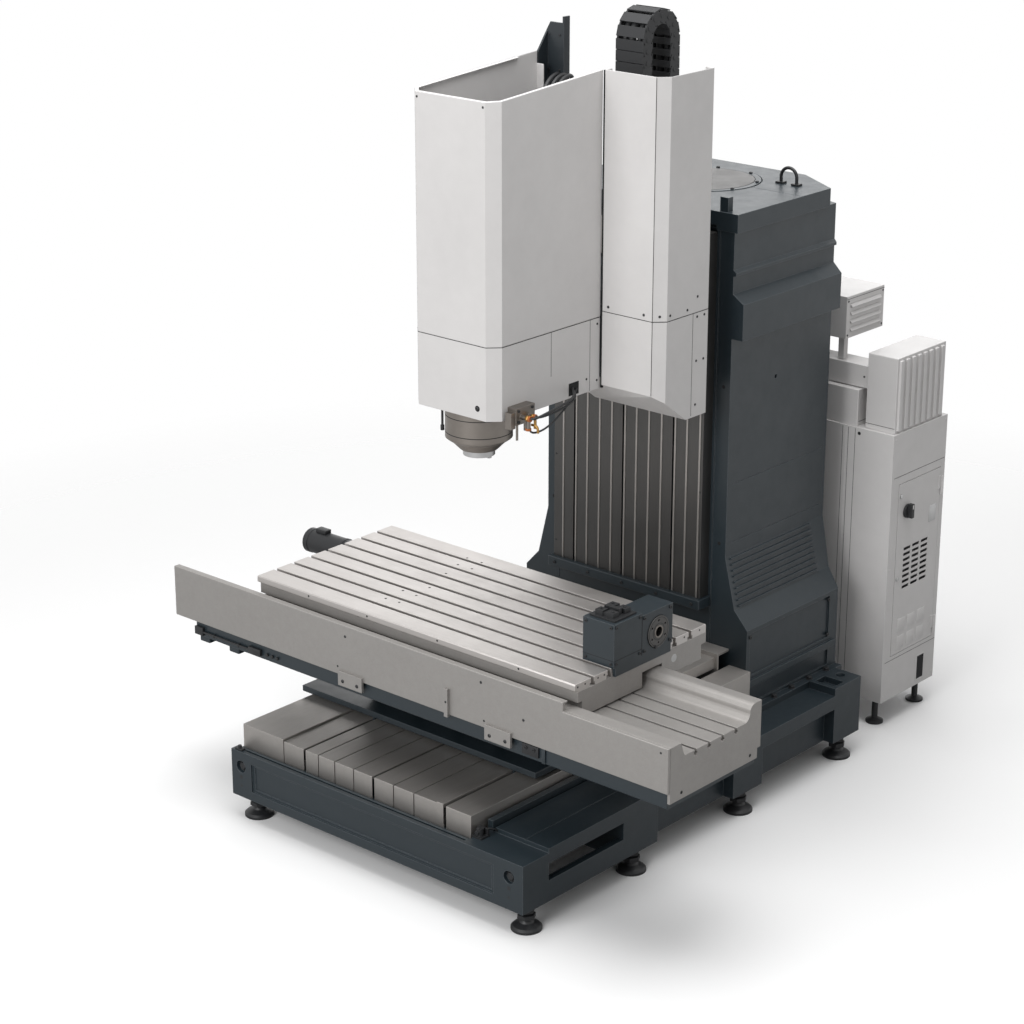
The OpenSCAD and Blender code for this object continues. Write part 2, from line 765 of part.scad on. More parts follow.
// Screw bearings and servo motor of the Z axis
module z_drive() {
    y1 = zway_y;
    color(cast_dark) for (z = [slat_z + 10, 2206]) difference() {
        block([z_screw_x - 45, y1 - 68, z], [z_screw_x + 45, y1, z + 40]);
        rod_z([z_screw_x, z_screw_y, z - 1], screw_r + fit, 50);
    }
    color(black) difference() {
        block([z_screw_x - 42, y1 - 68, 2262], [z_screw_x + 42, y1, 2390]);
        rod_z([z_screw_x, z_screw_y, 2261], screw_r + 4, 20);
    }
}

// Arm on the column top that the rear leg of the chain runs along
module chain_anchor() {
    y0 = chain_y + bend_r + link_h / 2 + seat_gap;
    color(cast_dark) {
        block([chain_x - chain_w / 2, y0, slat_top + 10], [chain_x + chain_w / 2, y0 + 8, col_top + 60]);
        block([chain_x - chain_w / 2, y0 + 8, col_top], [chain_x + chain_w / 2, col_y + 60, col_top + 8]);
    }
}

// Outer shell of the electrical cabinet
module cabinet_shell() {
    x0 = cab_x0;
    y1 = cab_y + cab_d;
    color(cover) difference() {
        block([x0, cab_y, cab_z], [cab_x1, y1, cab_top]);
        block([x0 + cab_t, cab_y + cab_t, cab_z + cab_t], [cab_x1 - cab_t, y1 - cab_t, cab_top - cab_t]);
        // Doorway in the right side
        block([cab_x1 - cab_t - 1, cab_y + 60, door_z0], [cab_x1 + 1, door_y1, door_z1]);
        // Seams on the front
        for (x = [x0 + 90, x0 + 320, x0 + 550])
            block([x, cab_y - 1, cab_z + 40], [x + 3, cab_y + 1, cab_top - 30]);
    }
    // Door stop frame inside the doorway
    color(cover) difference() {
        block([cab_x1 - cab_t - 18, cab_y + 44, door_z0 - 14], [cab_x1 - cab_t, door_y1 + 16, door_z1 + 14]);
        block([cab_x1 - cab_t - 19, cab_y + 62, door_z0 + 4], [cab_x1 + 1, door_y1 - 2, door_z1 - 4]);
    }
    // Fixed knuckles of the door hinges, with their pins
    color(cover) for (z = hinge_zs) {
        block([cab_x1, hinge_y - 5, z - 30 - seat_gap], [hinge_x, hinge_y + 5, z - seat_gap]);
        rod_z([hinge_x, hinge_y, z - 30 - seat_gap], 5, 30);
        rod_z([hinge_x, hinge_y, z - 1], 2.5, hinge_l - 12);
    }
}

module cabinet_plate() {
    row = (cab_top - cab_z) / 4;
    color(steel) {
        block([cab_x0 + 60, cab_y + cab_t, cab_z + 80], [cab_x1 - 120, cab_y + cab_t + 12, cab_top - 80]);
        for (i = [0 : 2])
            block([cab_x0 + 120, cab_y + cab_t + 12, cab_z + 180 + i * row],
                [cab_x1 - 180, cab_y + 90, cab_z + 320 + i * row]);
    }
}

module cabinet_feet() {
    color(black) {
        for (x = [cab_x0 + 60, cab_x1 - 60], y = [cab_y + 50, cab_y + cab_d - 50])
            translate([x, y, 0]) rotate_extrude()
                polygon([[0, 0], [40, 0], [40, 10], [14, 22], [14, cab_z], [0, cab_z]]);
    }
    // Struts that brace the cabinet to the back of the bed
    color(cast) for (x = [cab_x1 - 671, cab_x1 - 311]) {
        block([x, bed_len, cab_z + 90], [x + 40, cab_y, cab_z + 120]);
        block([x - 20, cab_y - 8, cab_z + 70], [x + 60, cab_y, cab_z + 140]);
    }
}

// Ribbed heat exchanger on the cabinet roof
module heat_exchanger() {
    x0 = cab_x1 - cooler_w;
    color(cover) {
        block([x0, cab_y + 20, cab_top], [cab_x1 - 12, cab_y + cab_d - 29, cab_top + cooler_h]);
        for (i = [0 : 7])
            block([cab_x1 - 12, cab_y + 34 + i * 46, cab_top + 12],
                [cab_x1 - 2, cab_y + 58 + i * 46, cab_top + cooler_h - 12]);
    }
}

module duct_beam() {
    color(cover) block([cab_x0 + 9, cab_y + 40, duct_z], [cab_x1 - cooler_w, cab_y + 150, duct_z + duct_h]);
}

// Box under the duct, and the post at the duct's other end
module terminal_box() {
    color(cover) {
        block([cab_x1 - 401, cab_y + 10, cab_top], [cab_x1 - 201, cab_y + 300, duct_z - 5]);
        block([cab_x0 + 9, cab_y + 60, cab_top], [cab_x0 + 49, cab_y + 120, duct_z]);
    }
}

module louvre_unit() {
    x1 = cab_x1 - cooler_w - 136;
    z0 = duct_z + duct_h + 100;
    color(cover) difference() {
        union() {
            block([x1 - louvre_w, cab_y + 40, z0], [x1, cab_y + 330, z0 + 190]);
            for (x = [x1 - louvre_w + 20, x1 - 50])
                block([x, cab_y + 60, duct_z + duct_h], [x + 30, cab_y + 90, z0]);
        }
        for (i = [0 : 3])
            block([x1 - 6, cab_y + 70, z0 + 30 + i * 36], [x1 + 1, cab_y + 300, z0 + 46 + i * 36]);
    }
}

// Door of the cabinet, hinged at its rear edge, with a grille of punched slots
module cabinet_door() {
    y0 = cab_y + 60 + slide_gap;
    y1 = door_y1 - slide_gap;
    z0 = door_z0 + slide_gap;
    z1 = door_z1 - slide_gap;
    color(cover) difference() {
        union() {
            block([cab_x1 - 2.5, y0, z0], [cab_x1 + 1, y1, z1]);
            for (z = hinge_zs) {
                rod_z([hinge_x, hinge_y, z], 5, hinge_l);
                block([cab_x1 + 1, y1 - 16, z], [cab_x1 + 5, hinge_y, z + hinge_l]);
            }
        }
        for (z = hinge_zs) rod_z([hinge_x, hinge_y, z - 1], 2.5 + fit, hinge_l - 9);
        for (i = [0 : 2], j = [0 : 7])
            block([cab_x1 - 3, y0 + 60 + i * 70, door_z0 + 310 + j * 26],
                [cab_x1 + 2, y0 + 116 + i * 70, door_z0 + 324 + j * 26]);
        rod_x([cab_x1 - 10, switch_y, switch_z], 6 + fit, 20);
    }
}

// Rotary isolator handle on the door
module main_switch() {
    color(black) {
        rod_x([cab_x1 - 30, switch_y, switch_z], 6, 34);
        rod_x([cab_x1 + 1.5, switch_y, switch_z], 32, 10);
        block([cab_x1 + 11.5, switch_y - 9, switch_z - 28], [cab_x1 + 34, switch_y + 9, switch_z + 36]);
    }
}

// Saddle: bed plate over the guards, ribbed block that carries the cross body, and webs to the trucks
module saddle_casting() {
    y1 = cross_y1 - 20;
    strip_z = cross_z - strip_h;
    plate_z = saddle_z + plate_t;
    rear_y = truck_ys[1] + truck_l + 20;
    rib_y = plate_y0 + 145;
    color(cast) {
        difference() {
            intersection() {
                along_y(saddle_y0, y1) polygon([[saddle_x0, plate_z], [saddle_x1, plate_z],
                    [saddle_x1, plate_z + 90], [900, strip_z], [-900, strip_z],
                    [saddle_x0, plate_z + 90]]);
                along_x(-900, 900) polygon([[saddle_y0, strip_z], [rib_y, plate_z],
                    [y1, plate_z], [y1, strip_z]]);
            }
            // Open bays between the ribs
            for (i = [0 : 3])
                along_x(saddle_x0 + 70 + i * 230, saddle_x0 + 250 + i * 230) polygon([
                    [saddle_y0 + 40, strip_z + 1], [saddle_y0 + 40, plate_z - 1], [rib_y - 20, plate_z - 1],
                    [rib_y - 20, strip_z + 1]]);
        }
        // Bed plate and the low block behind it
        block([plate_x0, plate_y0, saddle_z], [saddle_x1, rear_y, plate_z]);
        block([saddle_x0, y1, plate_z], [saddle_x1, rear_y, seat_z + 205]);
        // Top plate under the cross body, with bosses under its left end
        block([apron_x0 + 109, cross_y + apron_t, strip_z], [cross_x1 - end_t, y1, cross_z]);
        for (x = [apron_x0 + 120, apron_x0 + 300])
            block([x, cross_y + apron_t + 8, strip_z - 26], [x + 60, cross_y + 90, strip_z]);
        for (x = [way_left, way_right])
            block([x - web_t / 2, truck_ys[0], way_z + truck_top],
                [x + web_t / 2, truck_ys[1] + truck_l, saddle_z]);
    }
}

module y_trucks() {
    color(bright) for (x = [way_left, way_right], y = truck_ys)
        translate([x, 0, way_z]) along_y(y, y + truck_l) truck_section();
}

module y_nut() {
    y = (truck_ys[0] + truck_ys[1] + truck_l) / 2 - nut_l / 2;
    color(bright) difference() {
        union() {
            block([way_screw - 34, y, way_z + 8], [way_screw + 34, y + nut_l, way_z + 80]);
            block([way_screw - web_t / 2, y, way_z + 80], [way_screw + web_t / 2, y + nut_l, saddle_z]);
        }
        rod_y([way_screw, y - 1, y_screw_z], screw_r + fit, nut_l + 2);
    }
}

// Section of the cross body, seen from its right end
module cross_section() {
    y0 = cross_y + apron_t;
    y1 = cross_y1;
    curve_y = y1 - 72;
    difference() {
        polygon(concat([[y0, cross_z], [y1, cross_z], [y1, rim_z + 8], [y1 - 38, rim_z + 8]],
            // S-shaped rise to the back rim
            [for (a = [0 : 15 : 90]) [y1 - 38 - 34 * sin(a), rim_z + 8 - 26 * (1 - cos(a))]],
            [for (a = [0 : 15 : 90]) [curve_y - 30 * (1 - cos(a)), rim_z - 18 - 38 * sin(a)]],
            [[y0 + 85, land_z], [y0 + 78, land_z + 12], [y0 + 60, rim_z], [y0, rim_z]]));
        for (i = [0 : 3]) {
            y = cross_y + groove_y + i * groove_pitch;
            translate([y - 6, land_z - 25]) square([12, 30]);
            translate([y - 11, land_z - 20]) square([22, 10]);
        }
    }
}

module cross_body() {
    color(table_grey) difference() {
        along_x(cross_x0, cross_x1) cross_section();
        // Cavity of the X ways
        block([-xway_l - 5, keel_ys[0] - 55, xway_z], [xway_l + 5, keel_ys[1] + 55, cavity_roof]);
    }
    // Right end that hangs down over the saddle's strip
    color(table_grey) block([cross_x1 - end_t, cross_y + apron_t, cross_z - strip_h + 24],
        [cross_x1, cross_y1 - 20, cross_z]);
}

module front_apron() {
    color(table_grey) {
        z1 = cross_z + apron_h;
        along_y(cross_y, cross_y + apron_t) polygon([[apron_x0, cross_z + 3], [cross_x1, cross_z + 3],
            [cross_x1, rim_z], [apron_step, rim_z], [apron_step, z1], [apron_x0, z1]]);
        // Turned lip along the high part
        block([apron_x0, cross_y + apron_t, z1 - 8], [apron_step, cross_y + 30, z1]);
    }
}

// Keeper plates and the travel pointer on the front of the slide
module keeper_plates() {
    color(cover) for (x = keeper_xs) difference() {
        block([x, cross_y - 12, cross_z - 38], [x + keeper_w, cross_y, cross_z + 24]);
        for (s = [26, keeper_w - 26]) rod_y([x + s, cross_y - 13, cross_z - 16], 6, 5);
    }
    color(cover) block([pointer_x, cross_y - 14, cross_z - 4], [pointer_x + 18, cross_y, cross_z + 114]);
}

module x_rails() {
    color(bright) for (y = keel_ys)
        translate([0, y, xway_z]) along_x(-xway_l, xway_l) rail_section();
}

// Nut of the X screw on an arm behind the cross body
module x_nut() {
    color(cast) difference() {
        union() {
            block([-50, cross_y1, cross_z + 40], [50, x_screw_y + 34, cross_z + 100]);
            block([-50, x_screw_y - 34, cross_z + 100], [50, x_screw_y + 34, x_screw_z + 26]);
        }
        rod_x([-51, x_screw_y, x_screw_z], x_screw_r + fit, 102);
    }
}

// Section of the whole table, seen from its right end
module table_section() {
    y1 = table_y + table_d;
    slab_z = rim_z + 8 + 2 * slide_gap;
    front_rib_y = cross_y + apron_t + 85 + slide_gap;
    rib_y1 = cross_y1 - 102 - 2 * slide_gap;
    difference() {
        union() {
            polygon([[table_y + band_d, slab_z], [y1, slab_z], [y1, table_top - 4],
                [y1 - 4, table_top], [table_y + 4, table_top], [table_y, table_top - 4],
                [table_y, table_top - band_h], [table_y + band_d, table_top - band_h - 6]]);
            // Lower ribs on both sides of the back rim of the cross body
            translate([front_rib_y, table_z]) square([rib_y1 - front_rib_y, slab_z - table_z]);
            translate([cross_y1 + 15, table_z]) square([y1 - 30 - cross_y1 - 15, slab_z - table_z]);
        }
        for (i = [0 : slots - 1]) {
            y = table_mid + (i - (slots - 1) / 2) * slot_pitch;
            translate([y - tslot_w / 2, slot_z]) square([tslot_w, tslot_d + 1]);
            translate([y - tslot_w / 2 - 7, slot_z]) square([tslot_w + 14, 14]);
        }
    }
}

// Slab of the table below the T-slots, with a channel for the X screw
module table() {
    color(table_grey) difference() {
        along_x(table_x0, table_x1) intersection() {
            table_section();
            translate([0, table_z - 1]) square([2 * table_d, slot_z - table_z + 1]);
        }
        block([table_x0 + 40, x_screw_y - channel_w / 2, table_z - 1],
            [table_x1 - 40, x_screw_y + channel_w / 2, table_z + channel_h]);
        rod_x([table_x0 - 1, x_screw_y, x_screw_z], x_screw_r + fit, 42);
        rod_x([table_x1 - 41, x_screw_y, x_screw_z], x_screw_r + fit, 42);
    }
}

// Lands between the T-slots, one piece each so that every slot is open from end to end
module table_lands() {
    color(table_grey) along_x(table_x0, table_x1) intersection() {
        table_section();
        translate([0, slot_z]) square([2 * table_d, tslot_d]);
    }
}

// Steel keels that reach from the table down to the trucks
module table_keels() {
    color(bright) for (y = keel_ys)
        block([-x_truck_x - truck_l, y - web_t / 2, xway_z + truck_top],
            [x_truck_x + truck_l, y + web_t / 2, table_z]);
}

module x_trucks() {
    color(bright) for (x = [-x_truck_x - truck_l, x_truck_x], y = keel_ys)
        translate([0, y, xway_z]) along_x(x, x + truck_l) truck_section(x_truck_w);
}

// Servo motor of the X axis on the left end of the table
module x_drive() {
    h = 45;
    color(cast_dark) difference() {
        block([table_x0 - 22, x_screw_y - 56, x_screw_z - h], [table_x0, x_screw_y + 56, x_screw_z + h]);
        rod_x([table_x0 - 23, x_screw_y, x_screw_z], x_screw_r + 4, 30);
    }
    color(bright) difference() {
        rod_x([table_x0 - 300, x_screw_y, x_screw_z], 52, 278);
        rod_x([table_x0 - 60, x_screw_y, x_screw_z], x_screw_r + 4, 40);
    }
}

// Rotary axis unit: motor box in front, geared box with the faceplate behind
module rotary_housing() {
    color(cast) difference() {
        union() {
            block([rot_x1 - motor_l, motor_y, table_top], [rot_x1, gear_y, table_top + motor_h]);
            block([rot_x1 - motor_l + 32, gear_y, table_top], [rot_x1, rot_y + 90, table_top + motor_h - 12]);
            // Apron that hangs over the end of the table
            block([table_x1 + 1, motor_y + 10, table_top - 36], [rot_x1, rot_y + 82, table_top]);
        }
        rod_x([rot_x1 - 17, rot_y, rot_z], plate_r + 2, 18);
        rod_x([rot_x1 - 102, rot_y, rot_z], 30 + fit, 90);
    }
}

module rotary_faceplate() {
    color(bright) difference() {
        union() {
            rod_x([rot_x1 - 16.5, rot_y, rot_z], plate_r, 20);
            rod_x([rot_x1 - 100, rot_y, rot_z], 30, 84);
        }
        rod_x([rot_x1 - 80, rot_y, rot_z], plate_bore, 90);
        for (i = [0 : plate_n - 1]) rotate_about(rot_y, rot_z, i * 360 / plate_n)
            rod_x([rot_x1 - 10, rot_y, rot_z + plate_pcd / 2], plate_hole, 20);
    }
}

// Turns its children about an axis along X
module rotate_about(y, z, a) translate([0, y, z]) rotate([a, 0, 0]) translate([0, -y, -z]) children();

// Clamping blocks and manifold on the motor box
module rotary_clamp() {
    color(black) translate([rot_x1 - motor_l, motor_y, table_top + motor_h]) {
        block([15, 20, 0], [139, 150, 8]);
        // Four jaws round a cross bar
        for (x = [33, 85], y = [32, 102]) block([x, y, 8], [x + 36, y + 34, 28]);
        block([43, 75, 8], [113, 93, 34]);
        block([69, 36, 8], [85, 132, 22]);
    }
}

// Head: arm from the carriage to the spindle barrel
module head_casting() {
    lug_y = (spindle_y + ccov_y) / 2 + 20;
    color(cast) difference() {
        union() {
            block([-arm_hw, spindle_y, head_z], [arm_hw, carr_y, head_top_z]);
            rod_z([0, spindle_y, head_z], spindle_y - hcov_y - sheet - 5, head_top_z - head_z);
            // Deep rear web of the arm
            block([28 - arm_hw, lug_y, head_top_z], [arm_hw - 28, carr_y, head_top_z + 70]);
            // Lugs that carry the covers
            for (z = [head_z + 30, head_top_z - 50], s = [0, 1]) mirror([s, 0, 0])
                block([arm_hw, lug_y, z], [hcov_hw - sheet, lug_y + 40, z + 20]);
        }
        rod_z([0, spindle_y, head_z - 1], 110, head_top_z - head_z + 2);
    }
}

module z_carriage() {
    color(cast) {
        block([-carr_hw, carr_y, carr_z], [carr_hw, carr_y1, carr_top]);
        // Webs through the slots of the slat guard
        for (x = [zway_left, zway_right])
            block([x - web_t / 2, carr_y1, z_truck_zs[0]],
                [x + web_t / 2, zway_y - truck_top, z_truck_zs[1] + truck_l]);
        // Arms that carry the carriage cover
        for (z = [carr_z + 50, carr_top - 50]) {
            block([carr_hw, carr_y - 40, z], [ccov_hw - 44, carr_y + 20, z + 24]);
            block([ccov_hw - 44, carr_y - 40, z], [ccov_hw - sheet, ccov_y1 - sheet - 1, z + 24]);
        }
    }
}

module z_trucks() {
    color(bright) for (x = [zway_left, zway_right], z = z_truck_zs)
        translate([x, zway_y, z]) linear_extrude(truck_l) mirror([0, 1]) truck_section();
}

module z_nut() {
    z0 = 1930;
    color(bright) difference() {
        union() {
            block([z_screw_x - 34, zway_y - 66, z0], [z_screw_x + 34, zway_y - 4, z0 + 90]);
            block([z_screw_x - web_t / 2, carr_y1, z0], [z_screw_x + web_t / 2, zway_y - 66, z0 + 90]);
        }
        rod_z([z_screw_x, z_screw_y, z0 - 1], screw_r + fit, 92);
    }
}

// Plan of the head cover, t in from its outside and over longer at the back
module head_plan(t = 0, over = 0) {
    w = hcov_hw - t;
    b = hcov_bevel - t * bevel_step;
    polygon([[-w, hcov_back + over], [-w, hcov_y + t + b], [-w + b, hcov_y + t], [w - b, hcov_y + t],
        [w, hcov_y + t + b], [w, hcov_back + over]]);
}

// Wall of the head cover between t0 and t1 from its outside, from z0 up to z1:
// the left side runs further back than the right
module head_wall(t0, t1, z0, z1) {
    translate([0, 0, z0]) linear_extrude(z1 - z0) difference() {
        head_plan(t0);
        head_plan(t1, 1);
        translate([-hcov_hw + sheet, ccov_y]) square([2 * hcov_hw, hcov_back]);
    }
}

// Space under the sloping top of the head cover, drop below it
module below_head_top(drop = 0) {
    y0 = hcov_y - 1;
    y1 = hcov_back + 1;
    along_x(-hcov_hw - 1, hcov_hw + 1) polygon([[y0, hcov_z - 1], [y1, hcov_z - 1],
        [y1, head_top(y1) - drop], [y0, head_top(y0) - drop]]);
}

// Flange turned in along the back edge of the left wall
module rear_flange(z0, z1) {
    block([-hcov_hw + sheet, hcov_back - sheet, z0], [-hcov_hw + sheet + 36, hcov_back, z1]);
}

module head_cover_upper() {
    color(cover) {
        intersection() {
            head_wall(0, sheet, hcov_seam, ccov_top + 50);
            below_head_top();
        }
        // Rim turned in round the open top
        difference() {
            intersection() {
                head_wall(sheet, sheet + 12, hcov_seam + 100, ccov_top + 50);
                below_head_top();
            }
            below_head_top(sheet);
        }
        rear_flange(hcov_seam, hcov_top);
    }
}

module head_cover_lower() {
    z1 = hcov_seam - 0.5;
    color(cover) {
        head_wall(0, sheet, hcov_z, z1);
        translate([0, 0, hcov_z]) linear_extrude(sheet) difference() {
            head_plan(sheet);
            translate([-hcov_hw, ccov_y]) square([2 * hcov_hw, hcov_back]);
            translate([0, spindle_y]) circle(r = housing_r + 3);
        }
        rear_flange(hcov_z, z1);
    }
}

// Plan of the carriage cover beside the head, t in from its outside, from x0
module carriage_plan(x0, t = 0) {
    w = ccov_hw - t;
    b = ccov_bevel - t * bevel_step;
    y1 = ccov_y1 + t;
    polygon([[x0, y1], [x0, ccov_y + t], [w - b, ccov_y + t], [w, ccov_y + t + b], [w, y1]]);
}

// Walls of the carriage cover, open behind and beside the head
module carriage_shell(z0, z1) {
    x0 = hcov_hw + cover_gap;
    translate([0, 0, z0]) linear_extrude(z1 - z0) difference() {
        carriage_plan(x0);
        carriage_plan(x0 - 1, sheet);
    }
    // Flanges along the inner edge and the back edge
    block([x0, ccov_y + sheet, z0 == ccov_z ? ccov_z + hood_rise + 6 : z0], [x0 + sheet, ccov_y + 40, z1]);
    block([ccov_hw - 40, ccov_y1 - sheet, z0], [ccov_hw - sheet, ccov_y1, z1]);
}

module carriage_cover_upper() {
    color(cover) carriage_shell(ccov_seam, ccov_top);
}

// Lower hood of the carriage cover with its sloping underside
module carriage_cover_lower() {
    run = hood_run;
    color(cover) {
        difference() {
            carriage_shell(ccov_z, ccov_seam - 0.5);
            along_x(hcov_hw, ccov_hw + 1) polygon([[ccov_y - 1, ccov_z - 1],
                [ccov_y + run, ccov_z - 1], [ccov_y + run, ccov_z], [ccov_y - 1, ccov_z + hood_rise + 0.7]]);
        }
        // Sloping floor that runs on under the head's arm
        intersection() {
            along_x(hood_x0, ccov_hw - sheet) polygon([[ccov_y + sheet, ccov_z + hood_rise - 3],
                [ccov_y + run, ccov_z], [ccov_y + run + 60, ccov_z], [ccov_y + run + 60, ccov_z + sheet],
                [ccov_y + run + 1, ccov_z + sheet], [ccov_y + sheet, ccov_z + hood_rise + 2]]);
            translate([0, 0, ccov_z - 1]) linear_extrude(hood_rise + 10) carriage_plan(hood_x0 - 1, sheet);
        }
    }
}

// Barrel of the spindle: flange, nose and cone
module spindle_housing() {
    color(bright) translate([0, spindle_y, 0]) rotate_extrude() polygon([
        [50 + fit, nose_z + 26], [78, nose_z + 26], [110, nose_z + 58], [housing_r - 8, nose_z + 70],
        [housing_r, nose_z + 76], [housing_r, head_z - 14], [housing_r + 15, head_z - 14],
        [housing_r + 15, head_z], [109.9, head_z], [109.9, head_top_z + 30], [50 + fit, head_top_z + 30]]);
}

// Spindle with its tool taper
module spindle_shaft() {
    color(bright) translate([0, spindle_y, 0]) difference() {
        union() {
            translate([0, 0, nose_z]) cylinder(r = nose_r, h = 24);
            translate([0, 0, nose_z + 24]) cylinder(r = 50, h = head_top_z + 32 - nose_z - 24);
        }
        // Steep taper, 7 in 24
        translate([0, 0, nose_z - 0.01]) cylinder(r1 = 34.925, r2 = 34.925 - 102 * 7 / 48, h = 102);
        translate([0, 0, nose_z + 101]) cylinder(r = 12.5, h = 300);
    }
}

module spindle_motor() {
    z0 = head_top_z + 56.5;
    w = motor_w / 2;
    color(black) {
        translate([0, spindle_y, z0 - 24]) cylinder(r = w - 13, h = 24);
        block([-w, spindle_y - w, z0], [w, spindle_y + w, z0 + motor_box_h]);
        rod_z([0, spindle_y, z0 + motor_box_h], w - 28, 60);
    }
    // Flange feet on the head casting
    color(cast_dark) for (a = [45 : 90 : 315])
        translate([0, spindle_y, 0]) rotate(a) block([w - 6, -14, head_top_z], [w + 24, 14, z0]);
}

// Coolant and air nozzle block at the right of the head's underside
module nozzle_block() {
    x = hcov_hw;
    y = spindle_y - 80;
    z = hcov_z;
    color(steel) {
        block([x, y, z - 15], [x + 44, y + 110, z + 53]);
        block([x + 10, y - 26, z - 27], [x + 40, y, z + 39]);
        rod_z([x + 22, y + 30, z - 85], 5, 70);
        rod_z([x + 24, y + 80, z - 55], 9, 40);
    }
    color("#b08a4a") {
        rod_x([x + 44, y + 30, z + 15], 10, 46);
        rod_x([x + 44, y + 76, z + 9], 8, 36);
        rod_z([x + 80, y + 30, z - 27], 9, 32);
    }
}

// Upright channel for the hoses behind the head, with a gusset to the head cover
module mast_bracket() {
    x0 = -hcov_hw;
    x1 = x0 + mast_w;
    y0 = hcov_back + 60;
    t = 8;
    foot_z = carr_top + 2;
    color(cast_dark) {
        along_y(y0, y0 + t) polygon([[x0, foot_z], [x1, foot_z], [x1, mast_top], [x1 - t, mast_top],
            [x1 - t, mast_top - 26], [x0 + 20, mast_top - 26], [x0, mast_top - 60]]);
        block([x1 - t, y0 + t, foot_z], [x1, y0 + mast_d, mast_top]);
        along_x(x0, x0 + t) polygon([[hcov_back, hcov_top - 120], [y0, hcov_top - 120],
            [y0, mast_top - 60], [hcov_back, hcov_top + 46]]);
        // Foot on the carriage
        block([x0, y0 + t, foot_z], [x1 - t, carr_y1, foot_z + t]);
        block([x0, carr_y, carr_top], [x1, carr_y1, foot_z]);
    }
}

// Bracket of the carriage that the front leg of the chain is bolted to
module chain_mount() {
    y1 = chain_y - bend_r + link_h / 2 + seat_gap;
    x0 = chain_x - chain_w / 2;
    x1 = chain_x + chain_w / 2;
    color(cast_dark) {
        block([x0, y1, carr_top], [x1, y1 + 8, carr_top + 530]);
        block([x0, y1 + 8, carr_top], [x1, carr_y1, carr_top + 8]);
    }
}

// One link of the chain at the origin, its pitch along Z, its outer face toward -Y
module chain_link() {
    w = chain_w / 2;
    h = link_h / 2;
    p = link_pitch;
    for (s = [-1, 1]) {
        translate([s * (w - 5), 0, 0]) rotate([0, 90, 0]) translate([0, 0, -4]) {
            // Side plate with a rounded eye
            cylinder(r = h - 6, h = 8);
            translate([-p / 2 - 6, -h + 4, 0]) cube([p / 2 + 6, 2 * h - 8, 8]);
        }
        translate([s * (w - 5), 0, 0]) rotate([0, 90, 0]) translate([0, 0, -6]) cylinder(r = 9, h = 12);
    }
    // Outer lid, and an inner lid that stays clear of its neighbours in the bend
    block([-w + 1, -h, p * 0.03], [w - 1, -h + 5, p * 0.97]);
    block([-w + 1, h - 5, p * 0.2], [w - 1, h, p * 0.8]);
}

// Chain: two straight legs and a half turn
module chain_loop() {
    front_n = 16;
    rear_n = 19;
    turn_n = 6;
    color(black) translate([chain_x, chain_y, bend_z]) {
        for (i = [1 : front_n]) translate([0, -bend_r, -i * link_pitch]) chain_link();
        for (i = [0 : turn_n - 1]) rotate([-i * 180 / turn_n, 0, 0])
            translate([0, -bend_r, 0]) rotate([-90 / turn_n, 0, 0]) chain_link();
        for (i = [0 : rear_n - 1]) translate([0, bend_r, -i * link_pitch]) rotate([180, 0, 0]) chain_link();
    }
}

module x_screw() {
    color(bright) rod_x([table_x0 - 50, x_screw_y, x_screw_z], x_screw_r, table_l + 50);
}
module y_screw() {
    color(bright) rod_y([way_screw, 92, y_screw_z], screw_r, guard_end + 20);
}
module z_screw() {
    color(bright) rod_z([z_screw_x, z_screw_y, slat_z + 12], screw_r, 2270 - slat_z - 12);
}

place() bed_casting();
place() leveling_feet();
place() way_guards();
place() y_rails();
place() y_drive();
place() lube_fitting();
place() rear_cover_fixed();
place() column_casting();
place() column_cap();
place() lifting_bails();
place() column_guard();
place() guard_bar();
place() z_rails();
place() z_drive();
place() chain_anchor();
place() cabinet_shell();
place() cabinet_plate();
place() cabinet_feet();
place() heat_exchanger();
place() duct_beam();
place() terminal_box();
place() louvre_unit();
place() saddle_casting();
place() cross_body();
place() front_apron();
place() keeper_plates();
place() x_rails();
place() x_nut();
place() y_trucks();
place() y_nut();
place() rear_cover_moving();
place() rear_cover_middle();
place() table();
place() table_lands();
place() table_keels();
place() x_trucks();
place() x_drive();
place() rotary_housing();
place() rotary_clamp();
place() rotary_faceplate();
place() head_casting();
place() z_carriage();
place() z_trucks();
place() z_nut();
place() head_cover_upper();
place() head_cover_lower();
place() carriage_cover_upper();
place() carriage_cover_lower();
place() spindle_housing();
place() spindle_motor();
place() nozzle_block();
place() mast_bracket();
place() chain_mount();
place() spindle_shaft();
place() x_screw();
place() y_screw();
place() z_screw();
place() chain_loop();
place() cabinet_door();
place() main_switch();
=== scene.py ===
"""Looks of a vertical machining centre: finishes, fasteners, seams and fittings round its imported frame.

X runs along the table, Y from the front to the column, Z up. Pieces are drawn in millimetres from the
column's middle, the bed's front face and the floor, and are moved into the frame's metres when they are done.
"""
import math

import bmesh
import bpy
from bpy.props import FloatProperty, FloatVectorProperty
from mathutils import Matrix, Vector


